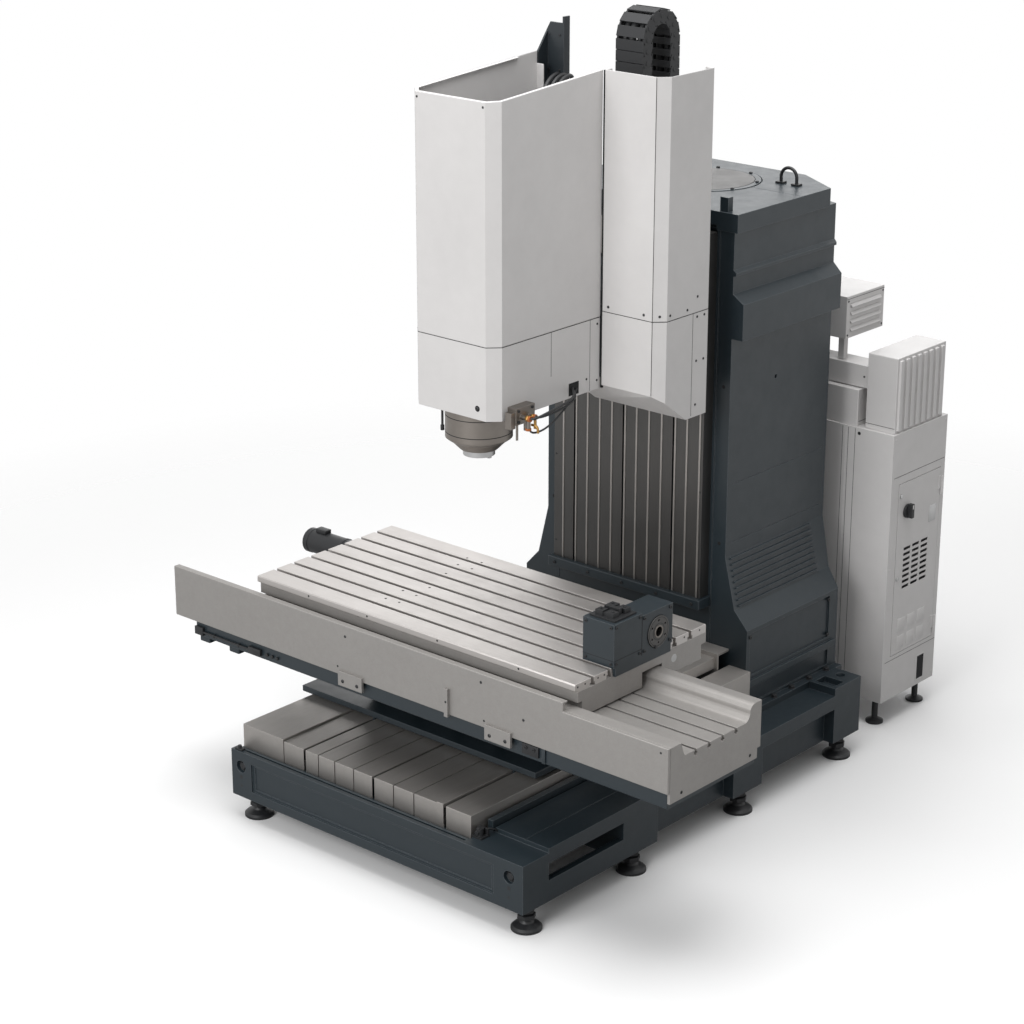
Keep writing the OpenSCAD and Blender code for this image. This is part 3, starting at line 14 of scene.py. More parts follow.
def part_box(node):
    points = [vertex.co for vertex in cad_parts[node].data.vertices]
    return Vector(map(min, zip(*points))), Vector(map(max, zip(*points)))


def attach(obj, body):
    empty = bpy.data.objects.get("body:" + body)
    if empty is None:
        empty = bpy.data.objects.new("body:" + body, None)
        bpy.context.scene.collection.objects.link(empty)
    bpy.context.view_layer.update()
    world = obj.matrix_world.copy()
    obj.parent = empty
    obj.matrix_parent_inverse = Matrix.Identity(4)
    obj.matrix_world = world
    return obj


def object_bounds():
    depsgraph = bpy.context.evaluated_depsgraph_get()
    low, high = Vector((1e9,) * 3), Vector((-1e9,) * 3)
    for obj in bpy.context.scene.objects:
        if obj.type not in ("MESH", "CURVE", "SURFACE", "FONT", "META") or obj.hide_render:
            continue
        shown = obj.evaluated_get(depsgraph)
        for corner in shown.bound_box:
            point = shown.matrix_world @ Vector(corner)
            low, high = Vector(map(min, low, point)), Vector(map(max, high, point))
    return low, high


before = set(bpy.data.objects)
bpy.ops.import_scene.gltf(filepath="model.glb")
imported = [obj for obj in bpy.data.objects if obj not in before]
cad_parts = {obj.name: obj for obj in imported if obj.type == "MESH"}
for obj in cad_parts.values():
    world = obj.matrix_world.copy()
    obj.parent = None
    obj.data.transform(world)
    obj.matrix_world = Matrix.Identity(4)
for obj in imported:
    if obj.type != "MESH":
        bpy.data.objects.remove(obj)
cad_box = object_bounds()

# Where the drawing's zero lies in the frame, and the size of its unit
column_low, column_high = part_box("column_casting")
HOME = Vector(((column_low[0] + column_high[0]) / 2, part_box("bed_casting")[0][1], 0.0))
MM = 0.001
# How far flat details and screw heads reach into their surface, and how far a detail stands
# off one of the machine's outermost faces, in millimetres
SUNK = 0.2
SCREW_SUNK = 0.3
FLUSH = 0.05
# Folds sharper than this stay crisp, and CAD edges sharper than this are rounded
SMOOTH_ANGLE = math.radians(35)
EDGE_ANGLE = math.radians(50)

bl_info = {
    "name": "Machining Centre Looks",
    "version": (1, 0, 0),
    "blender": (4, 5, 0),
    "location": "View3D > Sidebar > Machine",
    "description": "Dresses a vertical machining centre with finishes, screws, seams and fittings",
    "category": "Object",
}


def paint(red, green, blue):
    """Linear colour of a swatch given as it looks on screen, 0 to 255."""
    def linear(level):
        level /= 255
        return level / 12.92 if level <= 0.04045 else ((level + 0.055) / 1.055) ** 2.4
    return tuple(linear(level) for level in (red, green, blue))


def swatch(name, about, default):
    return FloatVectorProperty(name=name, description=about, default=default, size=3,
                               min=0.0, max=1.0, subtype="COLOR")


class MachineColours(bpy.types.PropertyGroup):
    """Colours of the machine's finishes"""
    casting: swatch("Castings", "Blue-grey paint of bed, column and head", paint(33, 43, 49))
    bracket: swatch("Brackets", "Darker paint of brackets and motor mounts", paint(29, 36, 41))
    cover: swatch("Covers", "Warm light grey powder coat of the sheet covers", paint(211, 209, 208))
    table: swatch("Table", "Ground bare iron of table and cross slide", paint(200, 196, 193))
    apron: swatch("Apron", "Bead-blasted iron of the apron", paint(166, 163, 160))
    guard: swatch("Guards", "Brushed sheet over the ways", paint(180, 176, 172))
    slat: swatch("Slats", "Dark steel of the column slats", paint(98, 97, 96))
    ground: swatch("Ground steel", "Rails, screws and pins", paint(190, 190, 190))
    steel: swatch("Turned steel", "Spindle housing and nozzle block", paint(138, 132, 126))
    black: swatch("Blackened steel", "Feet, bails, motor and screws", paint(34, 35, 37))
    nylon: swatch("Nylon", "Black glass-filled nylon of chain and handle", paint(36, 37, 39))
    brass: swatch("Brass", "Hose fittings", paint(172, 134, 80))
    amber: swatch("Amber", "Coloured collars on the hose fittings", paint(168, 92, 38))
    # Dark of open joints, and also painted shade in deep holes and in openings
    gap: swatch("Gap", "Dark of an open joint or a deep hole", paint(22, 23, 25))


class MachineSizes(bpy.types.PropertyGroup):
    """Sizes of seams, fasteners and edges, in millimetres"""
    seam: FloatProperty(name="Seam", description="Width of a dark panel joint", default=3.0, min=0.1)
    proud: FloatProperty(name="Stand-off", description="How far a flat detail stands off its surface",
                         default=0.35, min=0.01)
    edge: FloatProperty(name="Edge radius", description="Radius of the softened edges", default=2.5, min=0.1)


class MachineStage(bpy.types.PropertyGroup):
    """Camera, floor and lamps"""
    eye: FloatVectorProperty(name="Camera place", description="Where the camera stands", size=3,
                             default=(6.5444, -8.1163, 4.9051), subtype="TRANSLATION", unit="LENGTH")
    heading: FloatProperty(name="Heading", description="Turn of the view from straight ahead",
                           default=math.radians(41.3), subtype="ANGLE", unit="ROTATION")
    pitch: FloatProperty(name="Pitch", description="How far the camera looks down",
                         default=math.radians(19.8), subtype="ANGLE", unit="ROTATION")
    lens: FloatProperty(name="Focal length", description="Focal length on a 36 mm sensor",
                        default=91.45, subtype="DISTANCE_CAMERA", unit="CAMERA")
    sky: FloatProperty(name="Sky", description="Strength of the even light all round", default=0.41, min=0.0)
    key: FloatProperty(name="Key lamp", description="Power of the large lamp before the machine",
                       default=390.0, min=0.0, subtype="POWER", unit="POWER")
    top: FloatProperty(name="Top lamp", description="Power of the large lamp overhead",
                       default=370.0, min=0.0, subtype="POWER", unit="POWER")
    back: FloatProperty(name="Back lamp", description="Power of the large lamp that glances off the tops",
                        default=80.0, min=0.0, subtype="POWER", unit="POWER")


class Wire:
    """A shader socket that takes part in Python arithmetic."""

    def __init__(self, shader, socket):
        self.shader = shader
        self.socket = socket

    def math(self, operation, *values):
        return self.shader.node("ShaderNodeMath", {"operation": operation}, dict(enumerate(values)))

    def __add__(self, other):
        return self.math("ADD", self, other)

    def __sub__(self, other):
        return self.math("SUBTRACT", self, other)

    def __rsub__(self, other):
        return self.math("SUBTRACT", other, self)

    def __mul__(self, other):
        return self.math("MULTIPLY", self, other)

    __radd__ = __add__
    __rmul__ = __mul__

    def spread(self, low, high):
        """This value taken from low..high to 0..1, and held there."""
        return self.shader.node("ShaderNodeMapRange", {"clamp": True}, {0: self, 1: low, 2: high})


class Shader:
    """A material, or a world, that is written as expressions."""

    def __init__(self, name, world=None):
        self.material = world or bpy.data.materials.new(name)
        self.material.use_nodes = True
        self.tree = self.material.node_tree
        self.tree.nodes.clear()

    def node(self, kind, settings=None, inputs=None, output=0):
        """Adds a node: its settings first, then the values or wires of its sockets."""
        made = self.tree.nodes.new(kind)
        for key, value in (settings or {}).items():
            setattr(made, key, value)
        for key, value in (inputs or {}).items():
            socket = made.inputs[key]
            if isinstance(value, Wire):
                self.tree.links.new(value.socket, socket)
            elif socket.type == "RGBA":
                socket.default_value = (*value, 1.0)
            else:
                socket.default_value = value
        return Wire(self, made.outputs[output]) if made.outputs else None

    def mix(self, share, first, second):
        """Colour between first and second."""
        return self.node("ShaderNodeMix", {"data_type": "RGBA"}, {0: share, 6: first, 7: second}, 2)

    def noise(self, scale, detail=2.0, rough=0.5, stretch=(1.0, 1.0, 1.0)):
        """Noise over the piece's own axes, each of them stretched."""
        point = self.node("ShaderNodeTexCoord", output="Object")
        place = self.node("ShaderNodeVectorMath", {"operation": "MULTIPLY"}, {0: point, 1: stretch})
        return self.node("ShaderNodeTexNoise", {}, {"Vector": place, "Scale": scale,
                                                    "Detail": detail, "Roughness": rough})

    def soft_normal(self, radius):
        """Normal with the edges rounded to a radius."""
        return self.node("ShaderNodeBevel", {"samples": 4}, {"Radius": radius})

    def edges(self, radius):
        """1 on sharp edges, 0 on faces."""
        plain = self.node("ShaderNodeNewGeometry", output="Normal")
        match = self.node("ShaderNodeVectorMath", {"operation": "DOT_PRODUCT"},
                          {0: self.soft_normal(radius), 1: plain}, "Value")
        return (1.0 - match).spread(0.02, 0.25)

    def bump(self, height, strength, distance, normal):
        return self.node("ShaderNodeBump", {}, {"Height": height, "Strength": strength,
                                                "Distance": distance, "Normal": normal})

    def surface(self, inputs):
        """Ends the material in one surface shader and returns it."""
        shown = self.node("ShaderNodeBsdfPrincipled", {}, inputs)
        self.node("ShaderNodeOutputMaterial", {}, {"Surface": shown})
        return self.material


def sizes():
    return bpy.context.scene.machine_sizes


def shade(colour, factor, lift=0.0, most=1.0):
    """A colour made darker or paler, each part held below most."""
    return tuple(min(most, part * factor + lift) for part in colour)


def painted(name, colour, rough, peel, wear_and_highlight_share):
    """Paint over cast iron or sheet: slow tone drift, orange peel, and paler edges, partly wear of the paint
    and partly a painted highlight along the edges.
    """
    shader = Shader(name)
    edge = sizes().edge * MM
    drift = shader.noise(1.7, 3.0).spread(0.3, 0.7)
    cloud = shader.noise(14.0, 4.0, 0.6).spread(0.35, 0.75)
    # Paler edges: partly wear of the paint, partly a painted highlight where light catches the rounded edges
    wear_and_highlight_mask = shader.edges(1.6 * edge) * (0.5 + 0.5 * shader.noise(60.0, 3.0, 0.7).spread(0.3, 0.6)) * wear_and_highlight_share
    body = shader.mix(drift * 0.6 + cloud * 0.25, colour, shade(colour, 0.86))
    skin = shader.noise(420.0, 1.0)
    return shader.surface({
        # The pale edge colour is a painted highlight mixed with wear of the paint
        "Base Color": shader.mix(wear_and_highlight_mask, body, shade(colour, 2.4, 0.10, 0.9)),
        "Roughness": rough + 0.10 * cloud - 0.08 * wear_and_highlight_mask,
        "Normal": shader.bump(skin, peel, 0.0005, shader.soft_normal(edge)),
        "Coat Weight": 0.15,
        "Coat Roughness": 0.25,
    })


def machined(name, colour, grain, rough, depth=0.35, speck=0.0, metallic=1.0):
    """Bare metal with tool marks along one way and a painted highlight along its edges, grain being how much
    each axis is stretched.
    """
    shader = Shader(name)
    edge = sizes().edge * MM
    lines = shader.noise(620.0, 2.0, 0.6, grain).spread(0.25, 0.75)
    bands = shader.noise(34.0, 3.0, 0.6, grain).spread(0.3, 0.7)
    stain = shader.noise(5.0, 4.0, 0.62).spread(0.4, 0.75)
    bead = shader.noise(700.0, 1.0).spread(0.3, 0.7)
    share = depth * (0.45 * lines + 0.35 * bands + 0.35 * stain) + speck * bead
    body = shader.mix(share, colour, shade(colour, 0.72))
    # Paler edges: a painted highlight along the edges of the metal
    edge_highlight = shader.edges(edge) * 0.7
    return shader.surface({
        "Base Color": shader.mix(edge_highlight, body, shade(colour, 1.35, 0.04)),
        "Metallic": metallic,
        "Roughness": rough + 0.12 * lines + 0.10 * stain,
        "Normal": shader.bump(lines + speck * bead, 0.10, 0.0003, shader.soft_normal(edge)),
    })


def moulded(name, colour, rough):
    """Nylon or blackened metal with a fine even grain."""
    shader = Shader(name)
    edge = 0.5 * sizes().edge * MM
    grain = shader.noise(520.0, 2.0)
    wear = shader.edges(edge) * shader.noise(90.0, 2.0).spread(0.35, 0.65)
    body = shader.mix(grain * 0.3, colour, shade(colour, 0.6))
    return shader.surface({
        "Base Color": shader.mix(0.5 * wear, body, shade(colour, 2.2, 0.05)),
        "Roughness": rough + 0.12 * grain,
        "Normal": shader.bump(grain, 0.15, 0.0004, shader.soft_normal(edge)),
    })


ALONG_X, ALONG_Y, ALONG_Z = (0.02, 1.0, 1.0), (1.0, 0.02, 1.0), (1.0, 1.0, 0.02)
EVEN = (1.0, 1.0, 1.0)

# The last figure of each paint sets how strongly its edges pale, by wear and by painted highlight
FINISHES = {
    "casting": lambda hue: painted("casting_paint", hue.casting, 0.40, 0.10, 0.9),
    "bracket": lambda hue: painted("bracket_paint", hue.bracket, 0.42, 0.10, 0.45),
    "cover": lambda hue: painted("cover_powder_coat", hue.cover, 0.42, 0.07, 0.6),
    "table": lambda hue: machined("table_ground_iron", hue.table, ALONG_X, 0.40, 0.45),
    "apron": lambda hue: machined("apron_blasted_iron", hue.apron, EVEN, 0.48, 0.45, 0.30, 0.7),
    "guard": lambda hue: machined("guard_brushed_sheet", hue.guard, ALONG_Y, 0.34, 0.6, metallic=0.8),
    "rear_guard": lambda hue: machined("rear_guard_brushed_sheet", hue.guard, ALONG_X, 0.38, 0.5,
                                       metallic=0.6),
    "slat": lambda hue: machined("slat_dark_steel", hue.slat, ALONG_Z, 0.36, 0.5),
    "ground": lambda hue: machined("ground_steel", hue.ground, EVEN, 0.26, 0.35),
    "steel": lambda hue: machined("turned_steel", hue.steel, EVEN, 0.30, 0.5),
    "black": lambda hue: moulded("black_oxide", hue.black, 0.38),
    "nylon": lambda hue: moulded("glass_filled_nylon", hue.nylon, 0.48),
    "brass": lambda hue: machined("brass", hue.brass, EVEN, 0.28, 0.4),
    "amber": lambda hue: moulded("amber_collar", hue.amber, 0.40),
    "gap": lambda hue: moulded("shadow_gap", hue.gap, 0.85),
}
made_finishes = {}


def finish(name):
    """The finish of that name, made when it is first asked for."""
    if name not in made_finishes:
        made_finishes[name] = FINISHES[name](bpy.context.scene.machine_colours)
    return made_finishes[name]


# Which finish each CAD node wears
NODE_FINISHES = {
    "casting": ("bed_casting", "column_casting", "column_cap", "guard_bar", "saddle_casting", "x_nut",
                "head_casting", "z_carriage", "rotary_housing"),
    "bracket": ("z_drive", "chain_anchor", "chain_mount", "mast_bracket", "y_drive"),
    "cover": ("head_cover_upper", "head_cover_lower", "carriage_cover_upper", "carriage_cover_lower",
              "cabinet_shell", "cabinet_door", "heat_exchanger", "duct_beam", "terminal_box", "louvre_unit"),
    "table": ("table_lands",),
    "apron": ("front_apron", "keeper_plates", "cross_body", "table"),
    "guard": ("way_guards",),
    "rear_guard": ("rear_cover_fixed", "rear_cover_moving", "rear_cover_middle", "cabinet_plate"),
    "slat": ("column_guard", "rotary_faceplate"),
    "ground": ("y_rails", "z_rails", "x_rails", "y_trucks", "x_trucks", "z_trucks", "y_nut", "z_nut",
               "x_screw", "y_screw", "z_screw", "table_keels", "spindle_shaft"),
    "steel": ("spindle_housing", "nozzle_block"),
    "black": ("leveling_feet", "lifting_bails", "x_drive", "lube_fitting", "rotary_clamp", "spindle_motor",
              "cabinet_feet"),
    "nylon": ("chain_loop", "main_switch"),
}
# Nodes whose edges are rounded in the mesh, by how many metres
ROUNDED = {
    0.005: ("bed_casting", "column_casting", "column_cap", "saddle_casting", "rotary_housing", "guard_bar"),
    0.003: ("head_cover_upper", "head_cover_lower", "carriage_cover_upper", "carriage_cover_lower",
            "cabinet_shell", "heat_exchanger", "duct_beam", "terminal_box", "louvre_unit", "cross_body",
            "front_apron"),
    0.0015: ("table_lands", "way_guards", "keeper_plates"),
}


def grid(firsts, seconds):
    """Every pair of one of the first values and one of the second."""
    return [(first, second) for first in firsts for second in seconds]


def circle(centre, radius, count, ahead=0.0):
    """Points evenly spaced on a level circle, turned ahead by a share of their pitch."""
    turns = (Matrix.Rotation(math.tau * (step + ahead) / count, 3, "Z") for step in range(count))
    return [Vector(centre) + turn @ Vector((radius, 0, 0)) for turn in turns]


class Stock:
    """Mesh of one piece, built up from plain forms in the drawing's millimetres."""

    def __init__(self):
        self.mesh = bmesh.new()

    def block(self, low, high, edge=0.0):
        """Box between two corners, its edges cut back by edge."""
        low, high = Vector(low), Vector(high)
        placed = Matrix.Translation((low + high) / 2) @ Matrix.Diagonal((*(high - low), 1.0))
        corners = bmesh.ops.create_cube(self.mesh, size=1.0, matrix=placed)["verts"]
        if edge:
            lines = list(dict.fromkeys(line for corner in corners for line in corner.link_edges))
            bmesh.ops.bevel(self.mesh, geom=lines, offset=edge, segments=2, profile=0.5, affect="EDGES")

    def turned(self, place, axis, outline, sides=24, hexed=0.0):
        """Form turned about an axis from (radius, distance) points, hexagonal up to radius hexed."""
        stand = Vector(axis).to_track_quat("Z", "Y").to_matrix().to_4x4()
        stand.translation = Vector(place)
        rings = []
        for radius, rise in outline:
            ring = []
            for step in range(sides if radius else 1):
                angle = math.tau * step / sides
                fold = math.cos(angle % (math.pi / 3) - math.pi / 6) / math.cos(math.pi / 6)
                reach = radius / fold if radius <= hexed else radius
                spot = Vector((reach * math.cos(angle), reach * math.sin(angle), rise))
                ring.append(self.mesh.verts.new(stand @ spot))
            rings.append(ring)
        self.join(rings)

    def join(self, rings):
        """Skin over rings of corners, where a ring of one corner is a tip."""
        for near, far in zip(rings, rings[1:]):
            for step in range(max(len(near), len(far))):
                corners = [near[step % len(near)], near[(step + 1) % len(near)],
                           far[(step + 1) % len(far)], far[step % len(far)]]
                self.mesh.faces.new(list(dict.fromkeys(corners)))

    def close(self, first, last):
        """Flat faces over the first and the last ring."""
        self.mesh.faces.new(list(reversed(first)))
        self.mesh.faces.new(last)

    def rod(self, place, axis, radius, reach, edge=0.6, sides=24):
        """Closed round bar with its rims cut back by edge."""
        self.turned(place, axis, [(0, 0), (radius - edge, 0), (radius, edge), (radius, reach - edge),
                                  (radius - edge, reach), (0, reach)], sides)

    def ring(self, place, axis, inner, outer, rise):
        """Flat ring that stands rise off a face."""
        self.turned(place, axis, [(inner, -SUNK), (outer, -SUNK), (outer, rise), (inner, rise),
                                  (inner, -SUNK)], 40)

    def screw(self, place, axis, radius=7.0):
        """Socket screw's head that stands on a face."""
        rise, key = radius * 0.7, radius * 0.5
        self.turned(place, axis, [(0, -SCREW_SUNK), (radius, -SCREW_SUNK), (radius, rise * 0.85),
                                  (radius * 0.9, rise), (key, rise), (key, rise * 0.3),
                                  (0, rise * 0.3)], 18, key)

    def button(self, place, axis, radius=6.0):
        """Low domed screw head with a hexagonal socket."""
        rise, key = radius * 0.45, radius * 0.42
        self.turned(place, axis, [(0, -SCREW_SUNK), (radius, -SCREW_SUNK), (radius * 0.94, rise * 0.45),
                                  (radius * 0.7, rise * 0.85), (key, rise), (key, rise * 0.35),
                                  (0, rise * 0.35)], 18, key)

    def nut(self, place, axis, radius, rise):
        """Hexagonal nut."""
        self.turned(place, axis, [(0, 0), (radius * 0.92, 0), (radius, rise * 0.12), (radius, rise * 0.88),
                                  (radius * 0.92, rise), (0, rise)], 18, radius)

    def hole(self, place, axis, radius, proud=None):
        """Dark disc over the mouth of a drilled hole, a hair above its face: painted shade that stands for
        the hole's inside.
        """
        # The disc's dark is painted shade of the hole's inside
        proud = proud or sizes().proud
        self.turned(place, axis, [(0, -SUNK), (radius, -SUNK), (radius, proud), (0, proud)], 18)

    def seam(self, start, end, normal, width=None):
        """Dark line on a face from start to end."""
        start, end, normal = Vector(start), Vector(end), Vector(normal).normalized()
        half = (width or sizes().seam) / 2 * normal.cross(end - start).normalized()
        sunk = normal * SUNK
        self.prism([start - half - sunk, end - half - sunk, end + half - sunk, start + half - sunk],
                   normal * (SUNK + sizes().proud))

    def belt(self, plan, height, width=None):
        """Dark level line round a wall, along (x, y) points with the wall's outside at their right."""
        for (x0, y0), (x1, y1) in zip(plan, plan[1:]):
            self.seam((x0, y0, height), (x1, y1, height), (y1 - y0, x0 - x1, 0), width)

    def pipe(self, points, radius, sides=12):
        """Tube along a line of points, its bends mitred."""
        points = [Vector(point) for point in points]
        rings = []
        side = (points[1] - points[0]).orthogonal().normalized()
        for index, point in enumerate(points):
            ahead = (points[min(index + 1, len(points) - 1)] - point).normalized()
            behind = (point - points[max(index - 1, 0)]).normalized()
            way = (ahead + behind).normalized()
            side = (side - way * side.dot(way)).normalized()
            over = way.cross(side)
            rings.append([self.mesh.verts.new(point + radius * (math.cos(math.tau * step / sides) * side
                                                                + math.sin(math.tau * step / sides) * over))
                          for step in range(sides)])
        self.join(rings)
        self.close(rings[0], rings[-1])

    def hose(self, points, radius):
        """Tube with its bends rounded."""
        soft = [Vector(point) for point in points]
        for _ in range(3):
            cut = [soft[0]]
            for near, far in zip(soft, soft[1:]):
                cut += [near.lerp(far, 0.25), near.lerp(far, 0.75)]
            soft = cut + [soft[-1]]
        self.pipe(soft, radius)

    def prism(self, outline, lift):
        """Solid between an outline of points and the same outline moved by lift."""
        lift = Vector(lift)
        near = [self.mesh.verts.new(Vector(point)) for point in outline]
        far = [self.mesh.verts.new(Vector(point) + lift) for point in outline]
        self.close(near, far)
        self.join([near, far])

    def piece(self, name, body, look):
        """Turns the mesh into a piece with a finish, which rides on a body."""
        self.mesh.transform(Matrix.Translation(HOME) @ Matrix.Scale(MM, 4))
        bmesh.ops.recalc_face_normals(self.mesh, faces=self.mesh.faces)
        data = bpy.data.meshes.new(name)
        self.mesh.to_mesh(data)
        self.mesh.free()
        data.shade_smooth()
        data.set_sharp_from_angle(angle=SMOOTH_ANGLE)
        data.materials.append(finish(look))
        made = bpy.data.objects.new(name, data)
        bpy.context.scene.collection.objects.link(made)
        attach(made, body)


class Span:
    """Extent of a CAD node in the drawing's millimetres, with its six sides and its middle by name."""

    def __init__(self, node):
        low, high = ((Vector(corner) - HOME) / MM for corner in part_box(node))
        self.x0, self.y0, self.z0 = low
        self.x1, self.y1, self.z1 = high
        self.x, self.y, self.z = (low + high) / 2


LEFT, RIGHT = Vector((-1, 0, 0)), Vector((1, 0, 0))
FRONT, BACK = Vector((0, -1, 0)), Vector((0, 1, 0))
UP, DOWN = Vector((0, 0, 1)), Vector((0, 0, -1))


class DressFrame(bpy.types.Operator):
    """Gives every CAD node its finish and rounds the edges that show"""
    bl_idname = "machine.dress_frame"
    bl_label = "Finish the Frame"

    def execute(self, context):
        for name, nodes in NODE_FINISHES.items():
            for node in nodes:
                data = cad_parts[node].data
                data.materials.clear()
                data.materials.append(finish(name))
        undressed = set(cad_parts) - {node for nodes in NODE_FINISHES.values() for node in nodes}
        if undressed:
            raise RuntimeError(f"no finish for {sorted(undressed)}")
        for radius, nodes in ROUNDED.items():
            for node in nodes:
                self.round_edges(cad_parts[node], radius)
        return {"FINISHED"}

    @staticmethod
    def round_edges(node, radius):
        weld = node.modifiers.new("Weld", "WELD")
        weld.merge_threshold = 0.00002
        bevel = node.modifiers.new("Edges", "BEVEL")
        bevel.width = radius
        bevel.segments = 2
        bevel.limit_method = "ANGLE"
        bevel.angle_limit = EDGE_ANGLE
        bevel.harden_normals = True


class DressBed(bpy.types.Operator):
    """Nuts of the leveling feet, plugs of the front beam, anchor bolts of the column and the grease line"""
    bl_idname = "machine.dress_bed"
    bl_label = "Bed Fittings"

    def execute(self, context):
        bed, feet, column = Span("bed_casting"), Span("leveling_feet"), Span("column_casting")
        fitting = Span("lube_fitting")
        beam_top = fitting.z0
        foot_r, foot_ys = 62, (76, 717, 1436, 2162)
        low_nut_z, high_nut_z = 45.5, 71.5
        nuts = Stock()
        for x, y in grid((feet.x0 + foot_r, feet.x1 - foot_r), foot_ys):
            nuts.nut((x, y, low_nut_z), UP, 38, 19)
            nuts.nut((x, y, high_nut_z), UP, 33, 15)
        nuts.piece("foot_nuts", "root", "black")

        port_floor, port_z = 18, beam_top - 68
        plugs = Stock()
        for x in (bed.x0 + 56, bed.x1 - 71):
            plugs.nut((x, port_floor, port_z), FRONT, 17, 10)
            plugs.ring((x, port_floor, port_z), FRONT, 17, 24, 2)
            for drop, radius in ((47, 9), (87, 6)):
                plugs.hole((x, bed.y0, port_z - drop), FRONT, radius, FLUSH)
        # Two-step cap on the front beam
        plugs.block((bed.x0 + 17, 4, beam_top), (bed.x0 + 59, 26, beam_top + 8), 1.0)
        plugs.rod((bed.x0 + 37, 15, beam_top + 8), UP, 8, 12)
        plugs.piece("bed_plugs", "root", "black")

        # Row of bolts on the flange round the column's foot
        row_x, row_y, pitch, flange_z = column.x1 - 17, column.y0 + 60, 130, column.z0 + 30
        anchors = Stock()
        for side, step in grid((-1, 1), range(5)):
            place = Vector((side * row_x, row_y + pitch * step, flange_z))
            anchors.ring(place, UP, 8, 15, 2.5)
            anchors.nut(place + UP * 2, UP, 12, 11)
        anchors.piece("column_anchor_bolts", "root", "black")

        # Grease line from the fitting on the beam into the deck's lip
        line = Stock()
        line.hose([(fitting.x, 98, fitting.z0 + 27), (fitting.x + 22, 120, fitting.z0 + 30),
                   (fitting.x + 26, 150, fitting.z0 + 12), (fitting.x + 26, 154, fitting.z0 + 4)], 3)
        line.rod((fitting.x, 72, fitting.z1 - 1), UP, 7, 5)
        line.piece("grease_line", "root", "nylon")
        return {"FINISHED"}


class DressSlide(bpy.types.Operator):
    """Holes, screws and small fittings on the apron and under the cross slide"""
    bl_idname = "machine.dress_slide"
    bl_label = "Slide Fittings"

    def execute(self, context):
        apron, keeper, body = Span("front_apron"), Span("keeper_plates"), Span("cross_body")
        face = apron.y0
        holes = Stock()
        for x, z in ((-331, 768), (461, 763), (1322, 893)):
            holes.hole((x, face, z), FRONT, 4.5)
        for y in (234, 655):
            holes.hole((body.x1, y, body.z0 + 26), RIGHT, 7, FLUSH)
        holes.piece("slide_holes", "saddle", "gap")

        screws = Stock()
        for x, z in ((446, 920), (662, 826), (-285, 909)):
            screws.button((x, face, z), FRONT, 6)
        for x in (keeper.x0 + 26, keeper.x0 + 106, keeper.x1 - 106, keeper.x1 - 26):
            screws.button((x, keeper.y0 + 2, keeper.z0 + 22), FRONT, 8)
        screws.button((273, keeper.y0, 792), FRONT, 5)
        screws.piece("slide_screws", "saddle", "black")

        # Front of the dark strip that shows under the apron
        strip = apron.y0 + 15
        fittings = Stock()
        fittings.block((648, strip - 8, 684), (730, strip, 728), 1.0)
        for x in (669, 709):
            fittings.screw((x, strip - 8, 713), FRONT, 7)
        for low, high in (((-1190, strip - 14, 676), (-1141, strip, 712)),
                          ((-862, strip - 14, 680), (-790, strip, 708))):
            fittings.block(low, high, 1.5)
        for x in (-756, -726, -696):
            fittings.rod((x, strip, 694), FRONT, 7, 9)
        fittings.piece("strip_fittings", "saddle", "black")

        tube = Stock()
        tube.rod((-1141, strip - 8, 692), RIGHT, 5, 279)
        for x in (-1080, -930):
            tube.block((x, strip - 14, 685), (x + 10, strip, 699), 1.0)
        tube.piece("oil_tube", "saddle", "black")

        rib = Stock()
        rib.block((746, strip - 7, 669), (762, strip, 731), 1.5)
        rib.piece("strip_rib", "saddle", "casting")
        return {"FINISHED"}


class DressTable(bpy.types.Operator):
    """Holes in the table's face and edges, and the caps of the axis motor"""
    bl_idname = "machine.dress_table"
    bl_label = "Table Fittings"

    def execute(self, context):
        table, motor = Span("table_lands"), Span("x_drive")
        holes = Stock()
        for x in (-548, -217, 165, 586):
            holes.hole((x, table.y0, table.z1 - 13), FRONT, 4.5)
        # Tapped holes scattered over the face
        for x, y in ((-334, 932), (-252, 932), (-310, 848), (-234, 852), (-278, 740), (-221, 579),
                     (-280, 483), (-202, 480), (-272, 374), (-202, 379)):
            holes.hole((x, y, table.z1), UP, 5)
        for y in (225, 268, 344, 381, 874, 972):
            holes.hole((table.x1, y, table.z1 - 14), RIGHT, 4)
        holes.piece("table_holes", "table", "gap")

        caps = Stock()
        caps.turned((table.x0 - 300, motor.y, motor.z), RIGHT,
                    [(46, 0), (54, 2), (54, 26), (52.4, 27), (52.4, -0.1), (46, 0)], 40)
        caps.ring((table.x0 - 92, motor.y, motor.z), RIGHT, 51, 54, 14)
        caps.block((table.x0 - 250, motor.y - 18, motor.z + 50),
                   (table.x0 - 190, motor.y + 18, motor.z + 68), 2.0)
        caps.piece("motor_caps", "table", "black")
        return {"FINISHED"}


